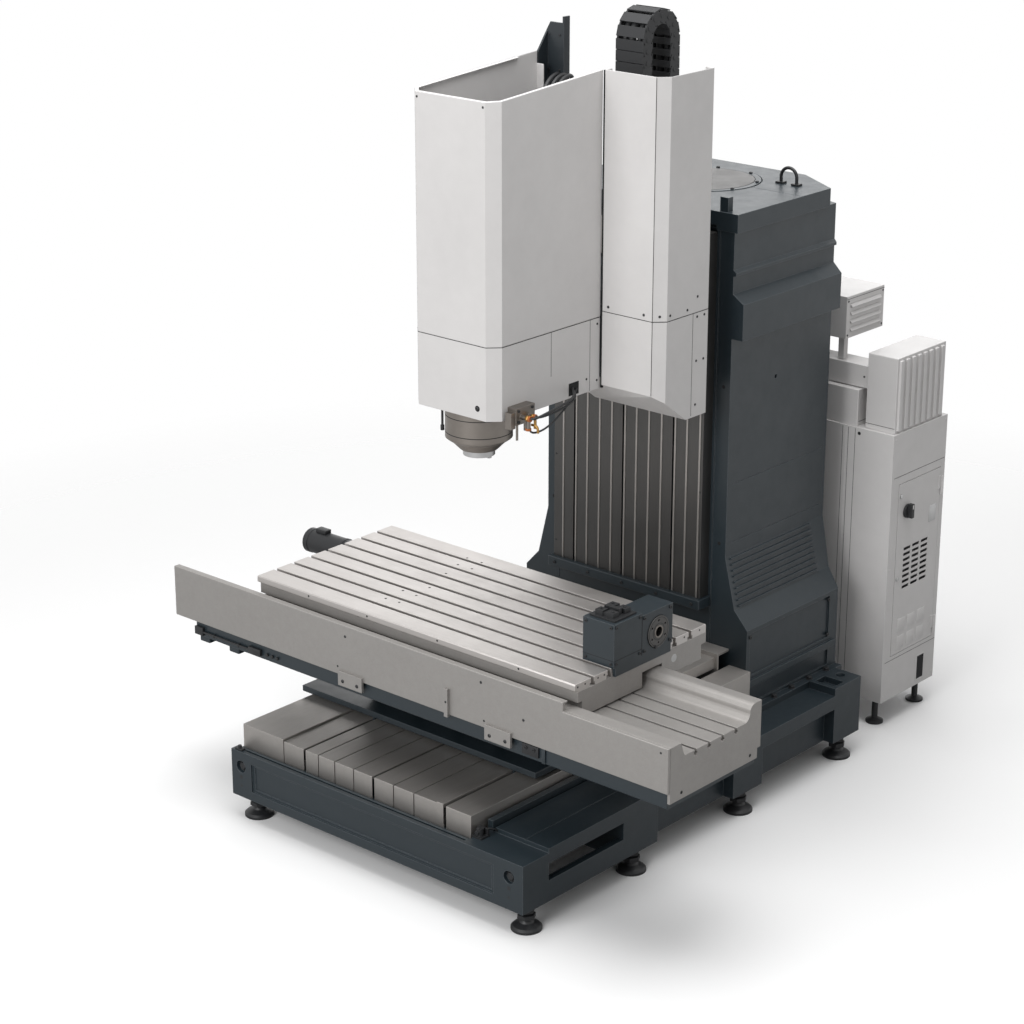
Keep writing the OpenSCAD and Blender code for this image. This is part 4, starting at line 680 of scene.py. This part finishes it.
class DressRotary(bpy.types.Operator):
    """Screws and seams of the rotary unit, and the bush and turned lines of its faceplate"""
    bl_idname = "machine.dress_rotary"
    bl_label = "Rotary Unit"

    def execute(self, context):
        unit, plate, clamp = Span("rotary_housing"), Span("rotary_faceplate"), Span("rotary_clamp")
        # Face of the table, and where the motor box meets the geared box
        base, step_y = Span("table_lands").z1, unit.y0 + 169
        screw_z, seam_z = base + 16, base + 30
        screws = Stock()
        for y, z in grid((unit.y0 + 14, step_y - 14), (screw_z, unit.z1 - 14)):
            screws.screw((unit.x1, y, z), RIGHT, 6)
        for y, z in grid((step_y + 14, unit.y1 - 16), (screw_z, unit.z1 - 26)):
            screws.screw((unit.x1, y, z), RIGHT, 7)
        for x, z in grid((unit.x0 + 15, unit.x1 - 15), (screw_z, unit.z1 - 14)):
            screws.screw((x, unit.y0, z), FRONT, 6)
        for x, y in grid((clamp.x0 + 33, clamp.x0 + 91), (clamp.y0 + 29, clamp.y0 + 99)):
            screws.screw((x, y, clamp.z0 + 28), UP, 6)
        screws.rod((unit.x1, unit.y0 + 250, base + 14), RIGHT, 7, 9)
        screws.piece("rotary_screws", "table", "black")

        seams = Stock()
        seams.seam((unit.x1, step_y, base + 2), (unit.x1, step_y, unit.z1 - 12), RIGHT)
        seams.seam((unit.x1, unit.y0 + 4, seam_z), (unit.x1, step_y, seam_z), RIGHT, 2)
        seams.seam((unit.x0, unit.y0, seam_z), (unit.x1, unit.y0, seam_z), FRONT, 2)
        seams.piece("rotary_seams", "table", "gap")

        centre = (plate.x1, plate.y, plate.z)
        bush = Stock()
        bush.ring(centre, RIGHT, 20, 25, 2.0)
        bush.piece("faceplate_bush", "faceplate", "steel")
        lines = Stock()
        for radius in (33, 57):
            lines.ring(centre, RIGHT, radius, radius + 1.5, 0.3)
        lines.piece("faceplate_lines", "faceplate", "gap")
        return {"FINISHED"}


class DressHead(bpy.types.Operator):
    """Seams, screws and the service opening of the head cover, and what stands inside it"""
    bl_idname = "machine.dress_head"
    bl_label = "Head Cover"

    def execute(self, context):
        upper, lower, motor = Span("head_cover_upper"), Span("head_cover_lower"), Span("spindle_motor")
        bevel = 45
        right_end = Span("carriage_cover_upper").y0
        plan = [(lower.x0, lower.y1), (lower.x0, lower.y0 + bevel), (lower.x0 + bevel, lower.y0),
                (lower.x1 - bevel, lower.y0), (lower.x1, lower.y0 + bevel), (lower.x1, right_end)]
        plug = (134, lower.y0, lower.z0 + 46)
        seams = Stock()
        seams.belt(plan, lower.z1 + 0.25, 2)
        for y, low in ((lower.y0 + 335, lower.z0 + 117), (lower.y1 - 184, lower.z0 + 4)):
            seams.seam((lower.x1, y, low), (lower.x1, y, lower.z1), RIGHT, 2)
        # Opening that the nozzle hoses go in by, drawn as a dark sheet of painted shade
        seams.block((lower.x1 - 0.5, lower.y0 + 443, lower.z0 + 10),
                    (lower.x1 + 0.4, lower.y0 + 505, lower.z0 + 62))
        seams.ring(plug, FRONT, 8, 12, 0.5)
        seams.piece("head_cover_seams", "head", "gap")

        middle_y, back_y = lower.y1 - 140, lower.y1 - 22
        low_z, high_z = lower.z0 + 39, lower.z1 - 24.5
        screws = Stock()
        for x in (-168, 168):
            screws.button((x, upper.y0, 3050), FRONT, 5)
        screws.button(plug, FRONT, 8)
        for y, z in ((middle_y, high_z), (middle_y - 64, low_z + 18), (middle_y, low_z)):
            screws.button((lower.x1, y, z), RIGHT, 5)
        left_rows = grid((lower.y0 + 77, middle_y), (low_z - 16, high_z))
        for y, z in (*left_rows, (back_y, low_z), (back_y, high_z)):
            screws.button((lower.x0, y, z), LEFT, 5)
        screws.piece("head_cover_screws", "head", "black")

        # Tool unclamp cylinder over the motor
        cylinder = Stock()
        for rise, radius, reach in ((0, 74, 26), (26, 62, 120), (146, 70, 18)):
            cylinder.rod((0, motor.y, motor.z1 + rise), UP, radius, reach, 2)
        for place in circle((0, motor.y, motor.z1 + 164), 54, 6):
            cylinder.screw(place, UP, 8)
        cylinder.piece("unclamp_cylinder", "head", "ground")
        hoses = Stock()
        for x in (-30, 0, 30):
            hoses.hose([(x, motor.y + 58, motor.z1 + 130), (x, motor.y + 150, motor.z1 + 170),
                        (x - 40, 1060, 2830), (x - 100, 1180, 3010), (x - 130, 1330, 3040),
                        (x - 150, 1332, 2900)], 9)
        hoses.piece("head_hoses", "head", "nylon")
        return {"FINISHED"}


class DressCarriage(bpy.types.Operator):
    """Seams and screws of the carriage cover"""
    bl_idname = "machine.dress_carriage"
    bl_label = "Carriage Cover"

    def execute(self, context):
        upper, lower = Span("carriage_cover_upper"), Span("carriage_cover_lower")
        bevel = 41
        fold_x, rear_y, row_z = upper.x1 - bevel, upper.y1 - 99, upper.z0 + 22
        seams = Stock()
        seams.belt([(upper.x0, upper.y0), (fold_x, upper.y0), (upper.x1, upper.y0 + bevel),
                    (upper.x1, upper.y1)], lower.z1 + 0.25, 2.5)
        seams.seam((fold_x, upper.y0, lower.z0 + 132), (fold_x, upper.y0, upper.z1 - 2), FRONT, 2.5)
        seams.seam((upper.x1, rear_y, lower.z0 + 8), (upper.x1, rear_y, lower.z1), RIGHT, 2)
        # Rubber edge that fills the joint to the head cover
        seams.block((Span("head_cover_lower").x1 + 0.3, upper.y0 + 3, lower.z0 + 115),
                    (upper.x0 - 0.3, upper.y0 + 12, upper.z1 - 4))
        seams.piece("carriage_cover_seams", "head", "gap")

        screws = Stock()
        for x in (upper.x0 + 30, fold_x - 43):
            screws.button((x, upper.y0, row_z), FRONT, 6)
        near_y, far_y = rear_y + 27, rear_y + 74
        for y, rise in ((upper.y0 + 61, 0), (upper.y1 - 137, 0), (near_y, 43), (near_y, -40),
                        (near_y, -223), (near_y, -406), (far_y, -40), (far_y, -223)):
            screws.button((upper.x1, y, row_z + rise), RIGHT, 5.5)
        screws.button((upper.x1 - bevel / 2, upper.y0 + bevel / 2, row_z), (1, -1, 0), 5.5)
        screws.piece("carriage_cover_screws", "head", "black")
        return {"FINISHED"}


class DressSpindle(bpy.types.Operator):
    """Screws, drive keys, air rod and the hoses of the nozzle block"""
    bl_idname = "machine.dress_spindle"
    bl_label = "Spindle and Nozzles"

    def execute(self, context):
        housing, shaft, nozzle = Span("spindle_housing"), Span("spindle_shaft"), Span("nozzle_block")
        flange_z, block_x = Span("head_casting").z0 - 14, housing.x + 266
        screws = Stock()
        for place in circle((0, shaft.y, flange_z), 142.5, 12):
            screws.screw(place, DOWN, 5.5)
        for y, z in grid((nozzle.y0 + 40, nozzle.y1 - 16), (nozzle.z1 - 56, nozzle.z1 - 12)):
            screws.screw((block_x, y, z), RIGHT, 6)
        # Air rod at the left of the spindle
        for rise, radius, reach in ((53, 5, 126), (45, 8, 22)):
            screws.rod((-164, shaft.y - 36, housing.z0 + rise), UP, radius, reach)
        screws.piece("spindle_screws", "head", "black")

        inner, outer, wide = 134.9, 135.5, 3
        rings = Stock()
        for rise in (73, 143, 191):
            rings.turned((0, shaft.y, housing.z0 + rise), UP,
                         [(inner, 0), (outer, 0), (outer, wide), (inner, wide), (inner, 0)], 72)
        rings.piece("spindle_housing_lines", "head", "gap")

        keys = Stock()
        for x in (-48, 48):
            keys.block((x - 12, shaft.y - 8, shaft.z0 - 8), (x + 12, shaft.y + 8, shaft.z0), 1.0)
        keys.piece("drive_keys", "spindle", "ground")

        hoses = Stock()
        hoses.hose([(310, 590, 1842), (334, 600, 1846), (334, 700, 1858), (312, 860, 1866),
                    (222, 950, 1866)], 5)
        hoses.hose([(300, 636, 1836), (322, 650, 1838), (320, 760, 1842), (296, 880, 1850),
                    (222, 965, 1850)], 4.5)
        hoses.hose([(302, 590, 1802), (318, 600, 1780), (330, 680, 1792), (300, 840, 1846),
                    (222, 975, 1858)], 4)
        hoses.piece("nozzle_hoses", "head", "nylon")
        collars = Stock()
        for place, axis in (((306, 590, 1842), RIGHT), ((292, 636, 1836), RIGHT), ((302, 590, 1794), UP)):
            collars.rod(place, axis, 12, 9)
        collars.piece("nozzle_collars", "head", "amber")
        elbows = Stock()
        elbows.nut((292, 590, 1842), RIGHT, 13, 14)
        elbows.nut((280, 636, 1836), RIGHT, 12, 12)
        elbows.rod((318, 612, 1800), UP, 6, 34)
        elbows.hose([(300, 612, 1812), (326, 612, 1812), (332, 612, 1800), (332, 612, 1784)], 5)
        elbows.piece("nozzle_elbows", "head", "brass")
        return {"FINISHED"}


class DressMast(bpy.types.Operator):
    """Screws and hoses of the mast behind the head"""
    bl_idname = "machine.dress_mast"
    bl_label = "Hose Mast"

    def execute(self, context):
        mast = Span("mast_bracket")
        # Front face of the upright plate, and where the hoses run behind it
        face_y, hose_y, low_z = mast.y0 + 60, mast.y0 + 79, mast.z0 + 32
        screws = Stock()
        for x, z in grid((mast.x0 + 14, mast.x1 - 22), (2290, 2700, 3040, 3180)):
            screws.screw((x, face_y, z), FRONT, 5)
        for z in (3000, 3120):
            screws.screw((mast.x0, face_y - 30, z), LEFT, 6)
        screws.piece("mast_screws", "head", "black")

        hoses = Stock()
        for step in range(3):
            x = mast.x0 + 22 + 20 * step
            hoses.hose([(x, face_y + 100, low_z), (x, face_y + 30, low_z), (x, hose_y, low_z + 68),
                        (x, hose_y, 2900), (x, hose_y, mast.z1 - 66)], 7.5)
        for z in (2450, 2750, 3050):
            hoses.block((mast.x0 + 10, face_y + 8, z), (mast.x1 - 10, face_y + 30, z + 12), 2.0)
        hoses.piece("mast_hoses", "head", "nylon")
        return {"FINISHED"}


class DressColumn(bpy.types.Operator):
    """Bright edges of the slats, screws and holes of the column, and the face of its cap's disc"""
    bl_idname = "machine.dress_column"
    bl_label = "Column Fittings"

    def execute(self, context):
        guard, bar, column = Span("column_guard"), Span("guard_bar"), Span("column_casting")
        # Width of the first slat, pitch of the others, and the joints that hold a slot
        first, pitch, gap_slats = 49, 67.2, (2, 6, 10)
        disc_y, disc_z = 2080, Span("lifting_bails").z0 + 2
        strips = Stock()
        for slat in range(1, 13):
            x = guard.x0 - 1 + first + (slat - 1) * pitch + (6 if slat in gap_slats else 1)
            strips.block((x, guard.y0 - 2.5, guard.z0 + 1), (x + 8, guard.y0, guard.z1 - 8), 0.6)
        strips.piece("slat_edges", "root", "guard")

        screws = Stock()
        for step in range(5):
            screws.screw((bar.x0 + 39 + 190 * step, bar.y0, bar.z), FRONT, 7)
        for x, z in grid((guard.x0 + 12, guard.x1 - 12), (900, 1300, 1700, 2100, 2380)):
            screws.button((x, guard.y0, z), FRONT, 5)
        for side, (y, z) in grid((LEFT, RIGHT), grid((column.y0 + 22, column.y0 + 600), (516, 680))):
            screws.screw((side.x * 616, y, z), side, 8)
        for place in circle((0, disc_y, disc_z), 228, 8, 0.5):
            screws.screw(place, UP, 8)
        screws.piece("column_screws", "root", "black")

        disc = Stock()
        disc.rod((0, disc_y, disc_z - 0.3), UP, 213, 0.7, 0.2, 72)
        disc.piece("cap_disc_face", "root", "slat")

        holes = Stock()
        for x in (-456, 456):
            for z in (1072, 1760):
                holes.hole((x, column.y0, z), FRONT, 8)
            # Threaded holes for transport in the back
            for z in (620, 1400, 2200):
                holes.hole((x * 0.55, column.y1, z), BACK, 14)
        for side in (LEFT, RIGHT):
            holes.hole((side.x * column.x1, column.y0 + 60, column.z0 + 15), side, 6)
        holes.piece("column_holes", "root", "gap")
        return {"FINISHED"}


class DressChain(bpy.types.Operator):
    """Cables that run through the chain"""
    bl_idname = "machine.dress_chain"
    bl_label = "Chain Cables"

    def execute(self, context):
        chain = Span("chain_loop")
        bend_r, bend_y, bend_z = 87, chain.y, chain.z1 - 117
        cables = Stock()
        for offset, radius in ((-42, 13), (-8, 16), (30, 12), (54, 8)):
            x = chain.x + offset
            bend = [(x, bend_y - bend_r * math.cos(turn), bend_z + bend_r * math.sin(turn))
                    for turn in (math.pi * step / 24 for step in range(25))]
            cables.pipe([(x, bend_y - bend_r, 2500), *bend, (x, bend_y + bend_r, 2360)], radius)
        cables.piece("chain_cables", "chain", "nylon")
        return {"FINISHED"}


class DressCabinet(bpy.types.Operator):
    """Folds, plates and screws of the cabinet, and the mark on its switch"""
    bl_idname = "machine.dress_cabinet"
    bl_label = "Cabinet"

    def execute(self, context):
        shell, door, switch = Span("cabinet_shell"), Span("cabinet_door"), Span("main_switch")
        right = shell.x1 - 13
        # How far the joints of the side and back panels lie in, and the cable window with its rim
        inset = 22
        window_y0, window_y1, rim = shell.y1 - 144, shell.y1 - 88, 6
        window_z0, window_z1 = shell.z0 + 28, shell.z0 + 142
        folds = Stock()
        for x in (right - 268, right - 238, right - 202):
            folds.seam((x, shell.y0, shell.z0 + 6), (x, shell.y0, shell.z1 - 6), FRONT, 2)
        for z in (door.z1 + 40, door.z0 - 22):
            folds.seam((right, shell.y0 + 18, z), (right, shell.y1 - 4, z), RIGHT, 2)
        folds.hole((right - 181, shell.y0, shell.z1 - 25), FRONT, 8)
        # Cable window drawn as a dark sheet of painted shade
        folds.block((right - 1, window_y0, window_z0), (right + 0.4, window_y1, window_z1))
        # Screwed-on side and back panels
        for y in (shell.y0 + inset, shell.y1 - inset):
            folds.seam((shell.x0, y, shell.z0 + inset), (shell.x0, y, shell.z1 - inset), LEFT, 2)
        for z in (shell.z0 + inset, shell.z1 - inset):
            folds.seam((shell.x0, shell.y0 + inset, z), (shell.x0, shell.y1 - inset, z), LEFT, 2)
            folds.block((shell.x0 + 30, shell.y1 - SUNK, z - 1), (right - 30, shell.y1 + FLUSH, z + 1))
        for x in (shell.x0 + 30, (shell.x0 + right) / 2, right - 30):
            folds.block((x - 1, shell.y1 - SUNK, shell.z0 + inset),
                        (x + 1, shell.y1 + FLUSH, shell.z1 - inset))
            for z in (shell.z0 + 50, shell.z, shell.z1 - 50):
                folds.hole((x + 16, shell.y1, z), BACK, 5, FLUSH)
        folds.piece("cabinet_folds", "root", "gap")

        trim = Stock()
        for low, high in (((window_y0 - rim, window_z0 - rim), (window_y0, window_z1 + rim)),
                          ((window_y1, window_z0 - rim), (window_y1 + rim, window_z1 + rim)),
                          ((window_y0, window_z0 - rim), (window_y1, window_z0)),
                          ((window_y0, window_z1), (window_y1, window_z1 + rim))):
            trim.block((right - 0.5, *low), (right + 2, *high))
        for y, z in grid((shell.y0 + 16, shell.y1 - 16), (shell.z0 + 30, shell.z + 6, shell.z1 - 22)):
            trim.button((right, y, z), RIGHT, 5)
        for y, z in grid((shell.y0 + 40, shell.y, shell.y1 - 40), (shell.z0 + 36, shell.z1 - 36)):
            trim.button((shell.x0, y, z), LEFT, 5)
        trim.piece("cabinet_trim", "root", "cover")

        face = right + 1
        panels = Stock()
        for up, along in grid((19, 103), (40, 120, 200)):
            panels.block((face - 0.5, door.y0 + along, door.z0 + up),
                         (face + 2, door.y0 + along + 58, door.z0 + up + 62), 1.2)
        panels.piece("door_embossing", "door", "cover")

        # Bare plate with its four screws, and two locks
        low, high = Vector((door.y0 + 254, door.z0 + 573)), Vector((door.y0 + 308, door.z0 + 651))
        plates = Stock()
        plates.block((face - 0.5, *low), (face + 1.2, *high), 0.4)
        for up in (367, 757):
            plates.rod((face, door.y0 + 18, door.z0 + up), RIGHT, 11, 5)
        for z, y in grid((low.y + 5, high.y - 5), (low.x + 5, high.x - 5)):
            plates.button((face + 1.2, y, z), RIGHT, 2.5)
        plates.piece("door_plate_and_locks", "door", "ground")

        mark = Stock()
        mark.block((switch.x1 - 22, switch.y - 4, switch.z + 12),
                   (switch.x1 + 0.6, switch.y + 4, switch.z + 30), 0.5)
        mark.piece("switch_mark", "switch", "cover")
        return {"FINISHED"}


class DressRoof(bpy.types.Operator):
    """Louvres, seams and screws of the units on the cabinet's roof"""
    bl_idname = "machine.dress_roof"
    bl_label = "Roof Units"

    def execute(self, context):
        cooler, duct, louvre, box = (Span("heat_exchanger"), Span("duct_beam"), Span("louvre_unit"),
                                     Span("terminal_box"))
        blades = Stock()
        for step in range(4):
            z = louvre.z1 - 160 + 36 * step
            blades.prism([(louvre.x1 + out, louvre.y0 + 30, z + up)
                          for out, up in ((-4, 16), (-1, 16), (9, 2), (6, 2))], (0, 230, 0))
        blades.piece("louvre_blades", "root", "cover")

        # Face of the cooler between its ribs, and its lower seam
        cooler_x, low_z = cooler.x1 - 12, cooler.z0 + 24
        seams = Stock()
        for z in (low_z, cooler.z0 + 40):
            seams.seam((cooler_x, cooler.y0, z), (cooler_x, cooler.y1, z), RIGHT, 2)
        seams.seam((cooler.x0, cooler.y0, low_z), (cooler_x, cooler.y0, low_z), FRONT, 2)
        seams.seam((louvre.x1, louvre.y0, louvre.z1 - 12), (louvre.x1, louvre.y1, louvre.z1 - 12), RIGHT, 2)
        seams.seam((duct.x0 + 240, duct.y0, duct.z0), (duct.x0 + 240, duct.y0, duct.z1), FRONT, 2)
        seams.seam((box.x1, box.y0 + 10, box.z0 + 20), (box.x1, box.y1 - 10, box.z0 + 20), RIGHT, 2)
        seams.piece("roof_unit_seams", "root", "gap")

        screws = Stock()
        for x in (duct.x0 + 30, duct.x0 + 210, duct.x0 + 270, duct.x1 - 30):
            screws.button((x, duct.y0, duct.z), FRONT, 5)
        for y, z in grid((louvre.y0 + 12, louvre.y1 - 12), (louvre.z1 - 175, louvre.z1 - 22)):
            screws.button((louvre.x1, y, z), RIGHT, 5)
        screws.piece("roof_unit_screws", "root", "black")
        return {"FINISHED"}


class SetStage(bpy.types.Operator):
    """Makes the camera, the pale floor, the even light and the lamps"""
    bl_idname = "machine.set_stage"
    bl_label = "Set the Stage"

    def execute(self, context):
        scene = context.scene
        stage = scene.machine_stage
        scene.view_settings.view_transform = "Standard"
        self.camera(scene, stage)
        self.floor()
        self.sky(scene, stage)
        middle = (cad_box[0] + cad_box[1]) / 2
        for name, place, size, power in (("key_lamp", (0.6, -8.0, 4.4), 4.5, stage.key),
                                         ("top_lamp", (0.2, -0.4, 7.5), 5.0, stage.top),
                                         ("back_lamp", (-4.4, 5.8, 4.2), 5.0, stage.back)):
            self.lamp(name, Vector(place), middle, size, power)
        return {"FINISHED"}

    @staticmethod
    def camera(scene, stage):
        camera = bpy.data.objects.new("camera", bpy.data.cameras.new("camera"))
        camera.data.lens = stage.lens
        camera.location = stage.eye
        ahead = Vector((-math.sin(stage.heading) * math.cos(stage.pitch),
                        math.cos(stage.heading) * math.cos(stage.pitch), -math.sin(stage.pitch)))
        camera.rotation_mode = "QUATERNION"
        camera.rotation_quaternion = ahead.to_track_quat("-Z", "Y")
        scene.collection.objects.link(camera)
        scene.camera = camera

    @staticmethod
    def floor():
        """Pale floor that fades into the white around it, with the machine's shadow on it."""
        data = bpy.data.meshes.new("floor")
        data.from_pydata([(-8, -9, 0), (8, -9, 0), (8, 9, 0), (-8, 9, 0)], [], [(0, 1, 2, 3)])
        shader = Shader("pale_floor")
        point = shader.node("ShaderNodeTexCoord", output="Object")
        reach = shader.node("ShaderNodeVectorMath", {"operation": "LENGTH"}, {0: point}, "Value")
        fade = reach.spread(2.2, 5.5)
        # The camera sees white paper; the light that it throws back up at the machine is kept down
        bounce, white = (0.42,) * 3, (0.93,) * 3
        seen = shader.node("ShaderNodeLightPath", output="Is Camera Ray")
        tone = shader.mix(seen, bounce, white)
        paper = shader.node("ShaderNodeBsdfPrincipled", {}, {"Base Color": tone, "Roughness": 0.8})
        clear = shader.node("ShaderNodeBsdfTransparent")
        shown = shader.node("ShaderNodeMixShader", {}, {0: fade, 1: paper, 2: clear})
        shader.node("ShaderNodeOutputMaterial", {}, {"Surface": shown})
        data.materials.append(shader.material)
        floor = bpy.data.objects.new("floor", data)
        bpy.context.scene.collection.objects.link(floor)

    @staticmethod
    def sky(scene, stage):
        """Even light all round that looks white to the camera and pale to reflections."""
        world = bpy.data.worlds.new("studio")
        world.use_nodes = True
        shader = Shader("", world)
        seen, shine, through = (shader.node("ShaderNodeLightPath", output=f"Is {kind} Ray")
                                for kind in ("Camera", "Glossy", "Transmission"))
        white = seen.math("MAXIMUM", seen, through)
        level = stage.sky + (1.0 - stage.sky) * white.math("MAXIMUM", white, shine * 0.7)
        light = shader.node("ShaderNodeBackground", {}, {"Color": (1, 1, 1), "Strength": level})
        shader.node("ShaderNodeOutputWorld", {}, {"Surface": light})
        scene.world = world

    @staticmethod
    def lamp(name, place, aim, size, power):
        light = bpy.data.lights.new(name, "AREA")
        light.size = size
        light.energy = power
        lamp = bpy.data.objects.new(name, light)
        lamp.location = place
        lamp.visible_camera = False
        lamp.rotation_mode = "QUATERNION"
        lamp.rotation_quaternion = (aim - place).to_track_quat("-Z", "Y")
        bpy.context.scene.collection.objects.link(lamp)


GROUPS = {"machine_colours": MachineColours, "machine_sizes": MachineSizes, "machine_stage": MachineStage}
OPERATORS = (DressFrame, DressBed, DressSlide, DressTable, DressRotary, DressHead, DressCarriage,
             DressSpindle, DressMast, DressColumn, DressChain, DressCabinet, DressRoof, SetStage)


class MachinePanel(bpy.types.Panel):
    """Lists the pieces of the machine and their settings"""
    bl_idname = "VIEW3D_PT_machine"
    bl_label = "Machining Centre"
    bl_space_type = "VIEW_3D"
    bl_region_type = "UI"
    bl_category = "Machine"

    def draw(self, context):
        for operator in OPERATORS:
            self.layout.operator(operator.bl_idname)
        for group in (getattr(context.scene, name) for name in GROUPS):
            box = self.layout.box()
            for name in group.bl_rna.properties.keys():
                if name not in ("rna_type", "name"):
                    box.prop(group, name)


CLASSES = (*GROUPS.values(), *OPERATORS, MachinePanel)


def register():
    for item in CLASSES:
        bpy.utils.register_class(item)
    for name, group in GROUPS.items():
        setattr(bpy.types.Scene, name, bpy.props.PointerProperty(type=group))


def unregister():
    for name in GROUPS:
        delattr(bpy.types.Scene, name)
    for item in reversed(CLASSES):
        bpy.utils.unregister_class(item)


def main():
    register()
    for operator in OPERATORS:
        family, name = operator.bl_idname.split(".")
        getattr(getattr(bpy.ops, family), name)()


if __name__ == "__main__":
    main()
